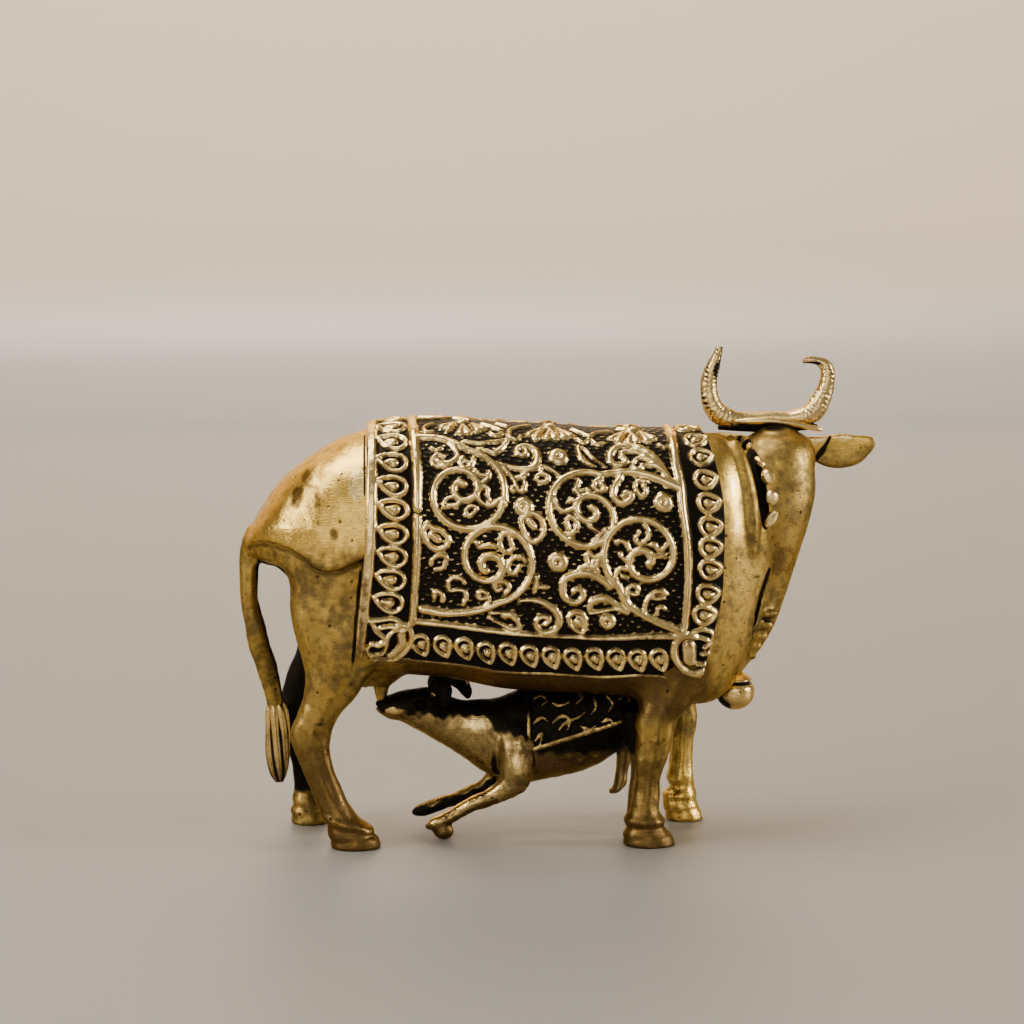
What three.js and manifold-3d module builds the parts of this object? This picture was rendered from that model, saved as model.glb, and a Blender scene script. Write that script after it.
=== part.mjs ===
// A small brass kamdhenu: a standing cow in a saddle cloth, her head turned back over her left
// side, suckling a crouching calf. The whole group is one casting. Millimetres, +Z up, +X forward.

import * as THREE from 'three';
import Module from 'manifold-3d';
import { mergeVertices } from 'three/addons/utils/BufferGeometryUtils.js';

// Driving sizes, mm.
const figureLength = 80.5;
const figureWidth = 28;
const figureHeight = 61.4;
const hemDepth = 35.3;
const hemSag = 2.2;
const clothThickness = 0.55;
const calfClothThickness = 0.4;
const borderWidth = 5.5;
const ridgeWidth = 0.85;
const ridgeHeight = 0.45;
const reliefRoot = -1.0;
const barWidth = 1.1;
const dropRadius = 1.2;
const dropPitch = 2.75;
const rosetteRadius = 1.15;
const leafRadius = 0.75;
const flowerRadius = 2.0;
const beadRadius = 0.95;
const smallBeadRadius = 0.6;
const bellRadius = 2.2;
const bellHeight = 5.2;
const pebbleRadius = 1.25;
const slabRoot = -1.4;

// The tables are drawn for a figure 80.5 long, 28 wide and 61.4 high in a cloth 35.3 deep.
const alongX = figureLength / 80.5;
const acrossY = figureWidth / 28;
const upZ = figureHeight / 61.4;
const downFlank = hemDepth / 35.3;
const girth = Math.sqrt(acrossY * upZ);

// What each column of a table scales with.
const barrelColumns = [alongX, upZ, upZ, upZ, acrossY];
const levelColumns = [upZ, alongX, acrossY, alongX, acrossY];
const pathColumns = [alongX, acrossY, upZ, girth, girth];
const calfColumns = [alongX, upZ, upZ, acrossY, acrossY];
const clothColumns = [alongX, downFlank];
const edgeColumns = [downFlank, alongX];
const sideColumns = [alongX, upZ];

// How finely the shapes are cut.
const torsoSides = 24;
const legSides = 10;
const neckSides = 12;
const limbSides = 7;
const hornSides = 6;
const hornBandSides = 5;
const clothLengthSteps = 7;
const clothRoundSteps = 16;
const calfClothLengthSteps = 4;
const calfClothRoundSteps = 8;
const barSteps = 6;
const hemSteps = 7;
const beadSides = 6;
const beadRings = 4;
const bellSides = 10;
const flankSteps = 120;
const scrollStep = 62;
const curlStep = 78;
const bossCorners = 5;
const dropCorners = 4;

const brass = new THREE.MeshStandardMaterial({ color: 0xb08d45, roughness: 0.42, metalness: 1.0 });

// Barrel of the cow: x, top, belly, height of the widest line, half width.
const torsoTable = sized([
  [-39.3, 38.0, 36.0, 37.0, 1.0], [-38.3, 40.2, 35.1, 37.3, 4.6], [-36.7, 42.8, 34.1, 38.0, 7.2],
  [-34.5, 45.7, 31.5, 38.2, 9.0], [-31.9, 47.9, 27.0, 37.8, 10.2], [-28.2, 50.1, 23.0, 37.5, 10.8],
  [-23.8, 51.6, 21.0, 37.0, 11.0], [-19.5, 52.1, 20.4, 36.0, 11.0], [-13.3, 52.2, 20.1, 35.0, 11.2],
  [-7.1, 51.8, 19.2, 34.5, 11.4], [-0.8, 51.5, 18.7, 34.5, 11.4], [5.4, 51.0, 18.3, 34.5, 11.1],
  [11.7, 51.0, 17.6, 35.0, 10.6], [17.9, 50.8, 16.8, 35.5, 9.4], [21.2, 50.2, 18.2, 36.0, 8.0],
  [23.7, 46.5, 22.0, 36.0, 6.2], [25.4, 42.0, 27.0, 36.0, 4.2], [26.4, 38.5, 32.5, 35.5, 1.5],
], barrelColumns);
const roundBackPower = 2.3;
const slabSidePower = 3.2;

// Neck and dewlap, cut level: z, x, y, half length, half width.
const neckTable = sized([
  [19.9, 21.4, 0.0, 1.6, 1.2], [22.5, 21.6, 0.0, 4.2, 2.2], [26.0, 22.0, 0.0, 5.6, 3.1],
  [30.0, 22.5, 0.0, 6.5, 4.0], [34.5, 23.5, 0.0, 7.3, 4.8], [39.5, 24.6, 0.2, 7.3, 5.2],
  [43.1, 26.0, 0.8, 6.6, 5.0], [45.7, 27.0, 1.4, 5.6, 4.9], [48.3, 27.8, 2.0, 4.7, 4.5],
  [50.3, 28.0, 2.6, 3.5, 3.4], [51.0, 28.0, 2.8, 1.6, 1.6],
], levelColumns);

// Legs, cut level from the hip or shoulder to the flat sole: z, x, y, half length, half width.
const legTables = [
  [[40.0, -29.6, -6.6, 6.0, 3.2], [36.2, -29.4, -6.9, 6.2, 3.6], [31.3, -28.9, -7.4, 5.3, 3.5],
    [26.3, -27.9, -7.4, 4.5, 3.2], [22.4, -27.5, -7.2, 4.0, 2.8], [19.2, -28.3, -7.0, 3.3, 2.4],
    [16.7, -29.8, -7.0, 2.7, 2.1], [14.6, -30.7, -7.0, 2.6, 1.9], [12.3, -30.6, -7.0, 2.25, 1.75],
    [10.1, -30.0, -7.0, 2.0, 1.65], [7.9, -29.1, -7.0, 1.95, 1.6], [5.6, -28.1, -7.0, 2.0, 1.75],
    [3.6, -27.0, -7.0, 2.2, 2.1], [1.6, -25.8, -7.0, 2.9, 2.6], [0.0, -25.4, -7.0, 2.8, 2.6]],
  [[40.0, -29.6, 6.6, 6.0, 3.2], [36.0, -29.4, 6.9, 5.8, 3.6], [32.0, -28.8, 7.3, 5.1, 3.5],
    [27.5, -28.4, 7.3, 4.5, 3.2], [23.2, -28.7, 7.1, 3.9, 2.8], [19.2, -30.4, 7.0, 3.7, 2.3],
    [15.3, -32.0, 7.0, 3.0, 1.9],
    [12.3, -32.7, 7.0, 2.3, 1.7], [9.4, -32.4, 7.0, 1.9, 1.6], [6.2, -32.1, 7.0, 1.8, 1.7],
    [3.5, -32.0, 7.0, 1.9, 2.0], [1.6, -31.6, 7.0, 2.4, 2.4], [0.0, -31.2, 7.0, 2.4, 2.4]],
  [[33.0, 15.6, -5.2, 4.6, 3.6], [28.0, 15.1, -5.7, 4.2, 3.3], [23.1, 14.6, -6.2, 3.9, 2.9],
    [18.2, 13.4, -6.8, 3.3, 2.5], [15.7, 12.1, -7.0, 2.6, 2.1], [13.2, 11.8, -7.0, 2.3, 1.95],
    [10.7, 11.4, -7.0, 2.05, 1.8], [8.2, 11.0, -7.0, 1.75, 1.65], [5.6, 10.7, -7.0, 1.8, 1.75],
    [3.7, 10.6, -7.0, 2.0, 2.0], [2.2, 10.8, -7.0, 2.8, 2.5], [0.0, 11.1, -7.0, 3.1, 2.7]],
  [[33.0, 16.0, 5.2, 4.2, 3.4], [26.0, 16.0, 6.2, 3.6, 2.9], [18.1, 16.3, 7.0, 2.3, 2.1],
    [15.5, 16.4, 7.0, 2.0, 1.9], [12.9, 16.8, 7.0, 1.9, 1.8], [10.3, 16.6, 7.0, 1.65, 1.65],
    [7.7, 16.5, 7.0, 1.7, 1.65], [5.0, 16.6, 7.0, 1.45, 1.5], [3.9, 16.6, 7.0, 2.0, 2.0],
    [1.6, 16.8, 7.0, 2.5, 2.3], [0.0, 16.9, 7.0, 2.7, 2.5]],
].map(table => sized(table, levelColumns));

// Udder and its two teats, cut level like the legs.
const udderTables = [
  [[24.0, -23.0, 0.0, 4.6, 4.4], [21.0, -23.0, 0.0, 3.9, 4.0], [19.4, -22.8, 0.0, 2.4, 2.8]],
  [[20.5, -22.0, 0.2, 1.0, 1.0], [18.8, -22.0, 0.2, 0.75, 0.75], [16.8, -22.0, 0.2, 0.45, 0.45]],
  [[20.5, -24.2, 2.4, 1.0, 1.0], [18.8, -24.2, 2.4, 0.75, 0.75], [17.6, -24.2, 2.4, 0.45, 0.45]],
].map(table => sized(table, levelColumns));

// Limbs that follow a path: x, y, z and two half thicknesses.
const headPath = sized([
  [28.0, 0.6, 48.4, 2.8, 2.4], [28.0, 2.4, 48.2, 4.0, 3.7], [28.1, 4.8, 47.3, 4.4, 4.3],
  [28.2, 7.4, 45.7, 3.8, 3.9], [28.3, 9.9, 43.9, 3.0, 3.1], [28.4, 12.1, 42.3, 2.8, 2.5],
  [28.5, 13.7, 41.2, 2.8, 2.3], [28.5, 14.7, 40.5, 2.0, 1.6],
], pathColumns);
const nearHornPath = sized([
  [27.2, 4.0, 52.2, 1.35, 1.3], [24.7, 4.0, 52.5, 1.4, 1.4], [22.8, 4.0, 52.6, 1.45, 1.4],
  [21.1, 4.0, 53.2, 1.4, 1.4], [20.0, 4.1, 54.5, 1.2, 1.2], [19.5, 4.2, 56.0, 1.06, 1.05],
  [19.4, 4.2, 57.7, 0.94, 0.9], [19.9, 4.1, 59.3, 0.75, 0.75], [20.4, 4.0, 60.6, 0.56, 0.55],
  [20.7, 4.0, 61.3, 0.35, 0.35],
], pathColumns);
const farHornPath = sized([
  [27.2, 4.0, 52.2, 1.35, 1.3], [29.7, 4.0, 52.4, 1.4, 1.4], [31.6, 4.0, 52.9, 1.3, 1.3],
  [33.3, 4.0, 54.1, 1.25, 1.25], [34.3, 4.1, 55.7, 1.05, 1.05], [34.6, 4.2, 57.6, 0.94, 0.9],
  [34.2, 4.2, 58.9, 0.75, 0.75], [33.2, 4.1, 59.6, 0.62, 0.6], [31.9, 4.0, 59.8, 0.48, 0.48],
  [31.2, 4.0, 59.4, 0.38, 0.38],
], pathColumns);
const hornBand = sized([
  [21.4, 3.8, 50.9, 0.35, 0.35], [23.2, 2.6, 51.7, 0.4, 0.4], [25.8, 1.9, 52.0, 0.45, 0.45],
  [29.6, 1.9, 51.6, 0.45, 0.45], [32.0, 2.6, 51.1, 0.4, 0.4], [33.8, 3.8, 50.6, 0.3, 0.3],
], pathColumns);
const rightEarPath = sized([
  [30.9, 3.0, 48.7, 0.6, 0.9], [33.3, 3.0, 48.5, 0.7, 1.2], [35.0, 3.0, 48.2, 0.75, 1.75],
  [36.8, 3.0, 48.2, 0.7, 1.9], [38.5, 3.0, 48.6, 0.6, 1.35], [39.7, 3.0, 49.2, 0.5, 0.8],
  [40.6, 3.0, 49.5, 0.25, 0.3],
], pathColumns);
const leftEarPath = sized([
  [25.6, 3.6, 48.7, 0.6, 0.9], [23.9, 5.0, 48.6, 0.7, 1.2], [22.5, 6.2, 48.2, 0.75, 1.75],
  [21.1, 7.4, 48.0, 0.7, 1.9], [19.8, 8.5, 48.2, 0.6, 1.35], [18.9, 9.3, 48.5, 0.5, 0.8],
  [18.3, 9.9, 48.7, 0.25, 0.3],
], pathColumns);
const tailPath = sized([
  [-36.6, 0.0, 39.2, 1.5, 2.6], [-37.7, 0.0, 37.2, 1.4, 1.9], [-38.4, 0.0, 34.4, 1.3, 1.35],
  [-38.6, 0.0, 31.3, 1.2, 1.2], [-38.5, 0.2, 28.8, 1.15, 1.15], [-38.0, 0.5, 26.2, 1.1, 1.1],
  [-37.4, 1.1, 23.5, 1.05, 1.05], [-36.6, 2.0, 20.7, 1.0, 1.0], [-35.9, 3.0, 18.0, 1.0, 1.0],
  [-35.3, 3.9, 15.6, 1.3, 1.3], [-35.2, 4.2, 12.5, 1.45, 1.5], [-35.2, 4.3, 9.5, 1.4, 1.45],
  [-35.1, 4.4, 7.0, 1.1, 1.1], [-35.0, 4.4, 5.8, 0.4, 0.4],
], pathColumns);

// Calf from muzzle to rump: x, top, underside, half width, and its middle, which drifts to her left.
const calfTable = sized([
  [-22.7, 17.0, 16.0, 0.6, 0.15], [-22.3, 17.4, 15.5, 1.3, 0.2], [-21.0, 17.8, 14.8, 1.6, 0.25],
  [-19.7, 18.2, 14.4, 1.8, 0.35], [-17.8, 18.6, 13.4, 2.3, 0.45], [-15.9, 18.6, 12.3, 2.5, 0.55],
  [-13.4, 17.2, 10.7, 2.2, 0.65], [-11.6, 16.5, 9.5, 2.4, 0.75], [-9.5, 16.5, 8.0, 3.0, 0.9],
  [-7.0, 17.3, 6.8, 3.9, 1.05], [-4.0, 18.4, 6.3, 4.3, 1.2], [0.0, 18.9, 6.9, 4.4, 1.4],
  [4.5, 19.4, 7.7, 4.3, 1.65], [8.0, 19.0, 9.8, 4.0, 1.85], [10.8, 17.4, 11.8, 2.9, 2.0],
  [12.3, 15.5, 13.5, 1.0, 2.1],
], calfColumns);
const calfEarPaths = [
  [[-15.6, -0.6, 16.8, 0.5, 0.8], [-14.8, -2.1, 18.6, 0.5, 1.0], [-13.6, -2.7, 19.6, 0.3, 0.6]],
  [[-15.6, 1.7, 16.8, 0.5, 0.8], [-14.8, 3.2, 18.6, 0.5, 1.0], [-13.6, 3.8, 19.6, 0.3, 0.6]],
].map(path => sized(path, pathColumns));
const calfLimbs = [
  [[-5.0, -2.2, 13.6, 1.3, 1.2], [-5.0, -2.9, 11.4, 2.1, 1.6], [-5.1, -3.2, 9.0, 2.2, 1.6],
    [-5.4, -3.2, 6.7, 1.8, 1.4],
    [-7.8, -3.1, 4.9, 1.2, 1.25], [-10.6, -3.0, 3.8, 1.1, 1.1], [-13.4, -2.9, 2.5, 1.1, 1.1],
    [-15.4, -2.9, 1.9, 1.0, 1.0], [-16.4, -2.9, 1.7, 0.4, 0.45]],
  [[-6.0, 3.0, 12.0, 2.0, 1.5], [-6.6, 3.2, 8.6, 1.8, 1.4], [-8.2, 3.0, 6.0, 1.2, 1.2],
    [-10.6, 2.8, 4.8, 1.05, 1.05], [-13.6, 2.6, 3.5, 1.0, 1.05], [-15.8, 2.5, 2.4, 1.05, 1.05],
    [-17.3, 2.5, 1.8, 0.9, 0.95], [-18.1, 2.5, 1.5, 0.4, 0.45]],
  [[9.4, -1.6, 15.5, 2.4, 1.5], [10.2, -1.7, 11.4, 2.0, 1.3], [10.4, -1.6, 8.2, 1.3, 1.1],
    [10.0, -1.5, 5.6, 1.0, 0.95], [10.0, -1.5, 3.4, 1.05, 1.0], [9.7, -1.5, 1.6, 1.2, 1.1]],
  [[9.0, 3.9, 15.0, 2.3, 1.5], [9.4, 4.1, 10.6, 1.7, 1.2], [9.3, 4.1, 7.4, 1.15, 1.0],
    [9.0, 4.0, 5.2, 0.95, 0.9], [8.5, 4.0, 3.7, 1.05, 1.0], [8.1, 4.0, 2.5, 1.2, 1.1]],
].map(path => sized(path, pathColumns));

// Pebble under the calf's forefoot: x, y.
const [pebble] = sized([[-14.4, -2.8]], [alongX, acrossY]);

// Saddle cloth. A place on it is (x, v): along the cow, and down the flank from the spine.
// Its rear and front edges: v, x.
const rearEdge = sized([
  [0, -23.7], [6, -23.6], [13.4, -22.8], [20.8, -22.6], [25.7, -22.9], [35, -24.8],
], edgeColumns);
const frontEdge = sized([
  [0, 19.0], [5.8, 19.9], [12.9, 21.2], [20.4, 21.2], [25.7, 20.7], [36, 18.0],
], edgeColumns);

// Calf's cloth, first its front edge and then its rear edge: x, height of its lower corner.
const calfClothEdges = sized([[-3.9, 10.9], [9.4, 14.7]], sideColumns);

// Scrolls: middle, outer radius, first angle, sweep, shift of the middle, stem that leads in.
const scrolls = [
  { middle: [-12.1, 14.3], radius: 6.3, from: -81, sweep: 655, shift: [-0.3, -1.1],
    stem: [[-17.4, 6.3], [-13.8, 6.7]] },
  { middle: [-8.2, 21.7], radius: 5.5, from: 98, sweep: -687, shift: [-1.2, 1.4],
    stem: [[-17.6, 28.6], [-14.2, 28.8], [-11.3, 28.3]] },
  { middle: [3.0, 16.0], radius: 5.9, from: -67, sweep: -635, shift: [0.7, -0.4],
    stem: [[15.2, 12.1], [11.0, 10.6], [8.1, 10.1]] },
  { middle: [9.6, 20.6], radius: 4.9, from: 140, sweep: 590, shift: [1.0, 0.6],
    stem: [[14.8, 29.8], [11.0, 28.5], [8.2, 26.8]] },
  { middle: [-4.3, 8.8], radius: 2.1, from: 125, sweep: -470, shift: [0, 0], stem: [[-7.9, 9.7]] },
  { middle: [-1.8, 28.9], radius: 2.2, from: -116, sweep: 450, shift: [-0.2, 0.6], stem: [[-5.7, 27]] },
  { middle: [2.2, 25.5], radius: 2.3, from: -60, sweep: -400, shift: [-0.4, 0], stem: [[6.1, 24.8]] },
  { middle: [7.6, 7.9], radius: 1.9, from: 140, sweep: 250, shift: [0, 0], stem: [[9.8, 9.9]] },
];
const largeScrolls = 4;
const curlRadius = 3;
const rosettes = sized([
  [-0.2, 8.7], [-4.6, 15.5], [-0.5, 22.1], [12.5, 14.0], [-14.9, 22.5], [5.6, 29.0],
], clothColumns);

// Leaves and large drops: place, turn in degrees, way to the tip.
const leaves = sized([
  [-9.0, 6.9, 0, 2.6], [3.4, 8.0, 40, 2.3], [-7.0, 29.8, 25, 1.9], [5.8, 27.2, -15, 2.5],
  [-15.3, 19.4, 60, 1.4], [-3.5, 17.8, 90, 1.3], [2.0, 29.3, 90, 1.3],
  [10.2, 7.2, 30, 2.4], [11.0, 8.6, 35, 2.6], [12.2, 6.2, 40, 1.6],
], [...clothColumns, 1, alongX]);
const spineFlowers = sized([[-11.6, 1.6], [-0.9, 1.3], [9.1, 1.3]], clothColumns);

// Necklace on the cow's right side: x and height of each bead; the left side mirrors it.
const beads = sized([[24.4, 47.9], [25.6, 46.0], [26.4, 43.8], [26.9, 41.4], [27.1, 38.8]], sideColumns);
const smallBeads = sized([[24.7, 29.4], [24.3, 27.4], [24.0, 25.5], [23.6, 23.7], [23.3, 22.0]], sideColumns);
const beadTallRatio = 1.15;
const smallBeadInsetRatio = 0.9;
const neckRimRatio = 0.98;

// Bell: where it hangs from, and its radius as a share at shares of the way down.
const [bellPlace] = sized([[22.8, -0.4, 21.4]], [alongX, acrossY, upZ]);
const bellProfile = [[0, 0.35], [0.12, 0.55], [0.28, 0.8], [0.55, 1.0], [0.8, 0.85], [1, 0.35]];

/** Rows of a table with each column taken from the drawn figure to this one. */
function sized(rows, factors) {
  return rows.map(row => row.map((value, column) => value * factors[column]));
}

/** Value of a table's columns at x, on a smooth curve through its rows. */
function along(table, x) {
  const last = table.length - 1;
  let i = 0;
  while (i < last - 1 && table[i + 1][0] < x) i += 1;
  const slope = (r, c) => {
    const a = table[Math.max(r - 1, 0)];
    const b = table[Math.min(r + 1, last)];
    return (b[c] - a[c]) / (b[0] - a[0]);
  };
  const h = table[i + 1][0] - table[i][0];
  const t = Math.min(Math.max((x - table[i][0]) / h, 0), 1);
  const cube = t ** 3;
  const square = t ** 2;
  const blend = [2 * cube - 3 * square + 1, cube - 2 * square + t, 3 * square - 2 * cube, cube - square];
  return table[i].slice(1).map((value, n) => blend[0] * value + blend[1] * h * slope(i, n + 1)
    + blend[2] * table[i + 1][n + 1] + blend[3] * h * slope(i + 1, n + 1));
}

/** Point of the barrel at x and an angle from the spine, turning down the right side. */
function barrel(x, angle, lift = 0) {
  const [top, belly, widest, half] = along(torsoTable, x);
  const s = Math.sin(angle);
  const c = Math.cos(angle);
  const power = 2 / (c > 0 ? roundBackPower : slabSidePower);
  const reach = (c > 0 ? top - widest : widest - belly) + lift;
  return new THREE.Vector3(x, -(half + lift) * Math.sign(s) * Math.abs(s) ** power,
    widest + reach * Math.sign(c) * Math.abs(c) ** power);
}

/** Point on the cloth: x along the cow, v down the flank (negative on the left), and a lift. */
function onCloth(x, v, lift) {
  const goal = Math.abs(v);
  let before = barrel(x, 0, clothThickness);
  let run = 0;
  let angle = 0;
  for (let i = 1; i <= flankSteps; i += 1) {
    const next = barrel(x, Math.PI * i / flankSteps, clothThickness);
    const step = next.distanceTo(before);
    if (run + step >= goal) {
      angle = Math.PI * (i - 1 + (goal - run) / step) / flankSteps;
      break;
    }
    run += step;
    before = next;
  }
  return barrel(x, Math.sign(v || 1) * angle, lift);
}

/** Point of the calf at x and an angle from its spine, turning down the right side. */
function calfSkin(x, angle, lift = 0) {
  const [top, under, half, middle] = along(calfTable, x);
  return new THREE.Vector3(x, middle - (half + lift) * Math.sin(angle),
    (top + under) / 2 + ((top - under) / 2 + lift) * Math.cos(angle));
}

/** Closed mesh through a row of rings, with a fan over each end; faces are turned outwards. */
function loft(rings) {
  const n = rings[0].length;
  const points = rings.flat();
  const faces = [];
  for (let r = 0; r + 1 < rings.length; r += 1) {
    for (let i = 0; i < n; i += 1) {
      const a = r * n + i;
      const b = r * n + (i + 1) % n;
      faces.push(a, b, b + n, a, b + n, a + n);
    }
  }
  const middle = ring => ring.reduce((sum, p) => sum.add(p), new THREE.Vector3()).divideScalar(n);
  const first = points.push(middle(rings[0])) - 1;
  const last = points.push(middle(rings.at(-1))) - 1;
  const end = (rings.length - 1) * n;
  for (let i = 0; i < n; i += 1) {
    const j = (i + 1) % n;
    faces.push(first, j, i, last, end + i, end + j);
  }
  return outward(points, faces);
}

/** Indexed geometry of a closed mesh whose enclosed volume comes out positive. */
function outward(points, faces) {
  let volume = 0;
  for (let f = 0; f < faces.length; f += 3) {
    const [a, b, c] = [points[faces[f]], points[faces[f + 1]], points[faces[f + 2]]];
    volume += a.dot(b.clone().cross(c));
  }
  const geometry = new THREE.BufferGeometry().setFromPoints(points);
  geometry.setIndex(volume > 0 ? faces : faces.slice().reverse());
  return geometry;
}

/** Ring of points about a middle, from two half axes. */
function ring(middle, across, other, sides) {
  return Array.from({ length: sides }, (_, i) => {
    const a = 2 * Math.PI * i / sides;
    return middle.clone().addScaledVector(across, Math.cos(a)).addScaledVector(other, Math.sin(a));
  });
}

/** Barrel of the cow, cut square to x. */
function torso() {
  const cuts = [];
  torsoTable.forEach((row, i) => {
    cuts.push(row[0]);
    const next = torsoTable[i + 1];
    if (next && i < 5) cuts.push((row[0] + next[0]) / 2);
  });
  return loft(cuts.map(x => Array.from({ length: torsoSides },
    (_, i) => barrel(x, 2 * Math.PI * (i + 0.5) / torsoSides))));
}

/** Upright limb from a table of level cuts. */
function upright(table, sides) {
  const across = new THREE.Vector3();
  const deep = new THREE.Vector3();
  return loft(table.map(([z, x, y, long, wide]) => ring(new THREE.Vector3(x, y, z),
    across.set(long, 0, 0), deep.set(0, wide, 0), sides)));
}

/** Limb along a path, its first half axis kept square to the path and close to a side. */
function limb(path, side, sides) {
  const at = path.map(p => new THREE.Vector3(p[0], p[1], p[2]));
  return loft(path.map((p, i) => {
    const way = at[Math.min(i + 1, at.length - 1)].clone().sub(at[Math.max(i - 1, 0)]).normalize();
    const across = side.clone().addScaledVector(way, -side.dot(way)).normalize();
    const other = way.clone().cross(across);
    return ring(at[i], across.multiplyScalar(p[3]), other.multiplyScalar(p[4]), sides);
  }));
}

/** Calf's head, neck and body, cut square to x. */
function calfBody() {
  return loft(calfTable.map(([x]) => Array.from({ length: neckSides },
    (_, i) => calfSkin(x, 2 * Math.PI * (i + 0.5) / neckSides))));
}

/** Ball stretched by a height factor. */
function ball(x, y, z, radius, tall = 1) {
  return new THREE.SphereGeometry(radius, beadSides, beadRings).scale(1, 1, tall).translate(x, y, z);
}

/** Edges of the cloth at a depth down the flank. */
function edges(v) {
  return { rear: along(rearEdge, Math.abs(v))[0], front: along(frontEdge, Math.abs(v))[0] };
}

/** Depth of the hem at a share of the way from the rear edge to the front edge. */
function hem(share) {
  return hemDepth + hemSag * Math.sin(Math.PI * share);
}

/** Closed sheet: place(share, turn, lift) gives a point, share 0 to 1 and turn -1 to 1. */
function slab(place, lengthwise, around, thickness) {
  const points = [];
  const faces = [];
  for (const lift of [thickness, slabRoot]) {
    for (let i = 0; i <= lengthwise; i += 1) {
      for (let j = 0; j <= around; j += 1) {
        points.push(place(i / lengthwise, 2 * j / around - 1, lift));
      }
    }
  }
  const row = around + 1;
  const layer = row * (lengthwise + 1);
  const quad = (a, b, c, d) => faces.push(a, b, c, a, c, d);
  for (let i = 0; i < lengthwise; i += 1) {
    for (let j = 0; j < around; j += 1) {
      const a = i * row + j;
      quad(a, a + 1, a + row + 1, a + row);
      quad(layer + a, layer + a + row, layer + a + row + 1, layer + a + 1);
    }
    const s = i * row;
    const e = s + around;
    quad(s, s + row, layer + s + row, layer + s);
    quad(e, layer + e, layer + e + row, e + row);
  }
  for (let j = 0; j < around; j += 1) {
    const e = lengthwise * row + j;
    quad(j, layer + j, layer + j + 1, j + 1);
    quad(e, e + 1, layer + e + 1, layer + e);
  }
  return outward(points, faces);
}

/** Saddle cloth over the cow's back and both flanks. */
function cloth() {
  return slab((share, turn, lift) => {
    const v = turn * hem(share);
    const { rear, front } = edges(v);
    return onCloth(rear + (front - rear) * share, v, lift);
  }, clothLengthSteps, clothRoundSteps, clothThickness);
}

/** Smaller cloth over the calf, its lower edge rising towards the rump. */
function calfCloth() {
  const [front, rear] = calfClothEdges;
  return slab((share, turn, lift) => {
    const [x, rim] = front.map((value, i) => value + (rear[i] - value) * share);
    const [top, under] = along(calfTable, x);
    const end = Math.acos((2 * rim - top - under) / (top - under));
    return calfSkin(x, turn * end, lift);
  }, calfClothLengthSteps, calfClothRoundSteps, calfClothThickness);
}

/** Ridge with a roof-shaped section along a line on the cloth; side is 1 right, -1 left. */
function ridge(line, width, side) {
  return loft(line.map(([x, v], i) => {
    const [ax, av] = line[Math.max(i - 1, 0)];
    const [bx, bv] = line[Math.min(i + 1, line.length - 1)];
    const length = Math.hypot(bx - ax, bv - av);
    const nx = -(bv - av) / length * width / 2;
    const nv = (bx - ax) / length * width / 2;
    return [
      onCloth(x + nx, side * (v + nv), clothThickness + reliefRoot),
      onCloth(x - nx, side * (v - nv), clothThickness + reliefRoot),
      onCloth(x, side * v, clothThickness + ridgeHeight),
    ];
  }));
}

/** Line of a scroll: a stem, then a spiral whose radius falls evenly to nothing. */
function scrollLine({ middle, radius, from, sweep, shift, stem }) {
  const steps = Math.ceil(Math.abs(sweep) / (radius > curlRadius ? scrollStep : curlStep));
  const line = stem.slice();
  for (let i = 0; i < steps; i += 1) {
    const t = i / steps;
    const a = THREE.MathUtils.degToRad(from + sweep * t);
    const r = radius * (1 - t);
    line.push([middle[0] + shift[0] * t + r * Math.cos(a), middle[1] + shift[1] * t + r * Math.sin(a)]);
  }
  return sized(line, clothColumns);
}

/** Low boss with a pointed end: long is the way to its point, turned by an angle in degrees. */
function boss(x, v, radius, long, turn, side, corners = bossCorners) {
  const a0 = THREE.MathUtils.degToRad(turn);
  const points = Array.from({ length: corners }, (_, i) => {
    const a = 2 * Math.PI * i / corners + a0;
    const reach = i === 0 ? long : radius;
    return onCloth(x + reach * Math.cos(a), side * (v + reach * Math.sin(a)), clothThickness + reliefRoot);
  });
  const low = points.push(onCloth(x, side * v, clothThickness + reliefRoot)) - 1;
  const top = points.push(onCloth(x, side * v, clothThickness + ridgeHeight)) - 1;
  const faces = [];
  for (let i = 0; i < corners; i += 1) {
    const j = (i + 1) % corners;
    faces.push(low, j, i, top, i, j);
  }
  return outward(points, faces);
}

/** Bars that frame the cloth on one side: its raised edges and the inner frame. */
function clothBars(side) {
  const shares = n => Array.from({ length: n + 1 }, (_, i) => i / n);
  const down = (offset, name, depth) => shares(barSteps)
    .map(t => [edges(t * depth)[name] + offset, t * depth]);
  const level = (up, offset) => shares(hemSteps).map(t => {
    const v = hem(t) - up;
    const { rear, front } = edges(v);
    return [rear + offset + (front - rear - 2 * offset) * t, v];
  });
  return [barWidth / 2, borderWidth].flatMap(inset => [
    down(inset, 'rear', hemDepth - inset),
    down(-inset, 'front', hemDepth - inset),
    level(inset, inset),
  ]).map(line => ridge(line, barWidth, side));
}

/** Row of drops along the three borders of one side, each pointing to the edge. */
function clothDrops(side) {
  const solids = [];
  const inset = borderWidth / 2;
  const long = inset - barWidth / 2;
  const drop = (x, v, turn) => solids.push(boss(x, v, dropRadius, long, turn, side, dropCorners));
  for (let v = dropPitch; v < hemDepth - borderWidth; v += dropPitch) {
    drop(edges(v).rear + inset, v, 180);
    drop(edges(v).front - inset, v, 0);
  }
  const { rear, front } = edges(hemDepth);
  const start = rear + borderWidth + dropPitch / 2;
  for (let x = start; x < front - borderWidth; x += dropPitch) {
    drop(x, hem((x - rear) / (front - rear)) - inset, 90);
  }
  return solids;
}

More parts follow.
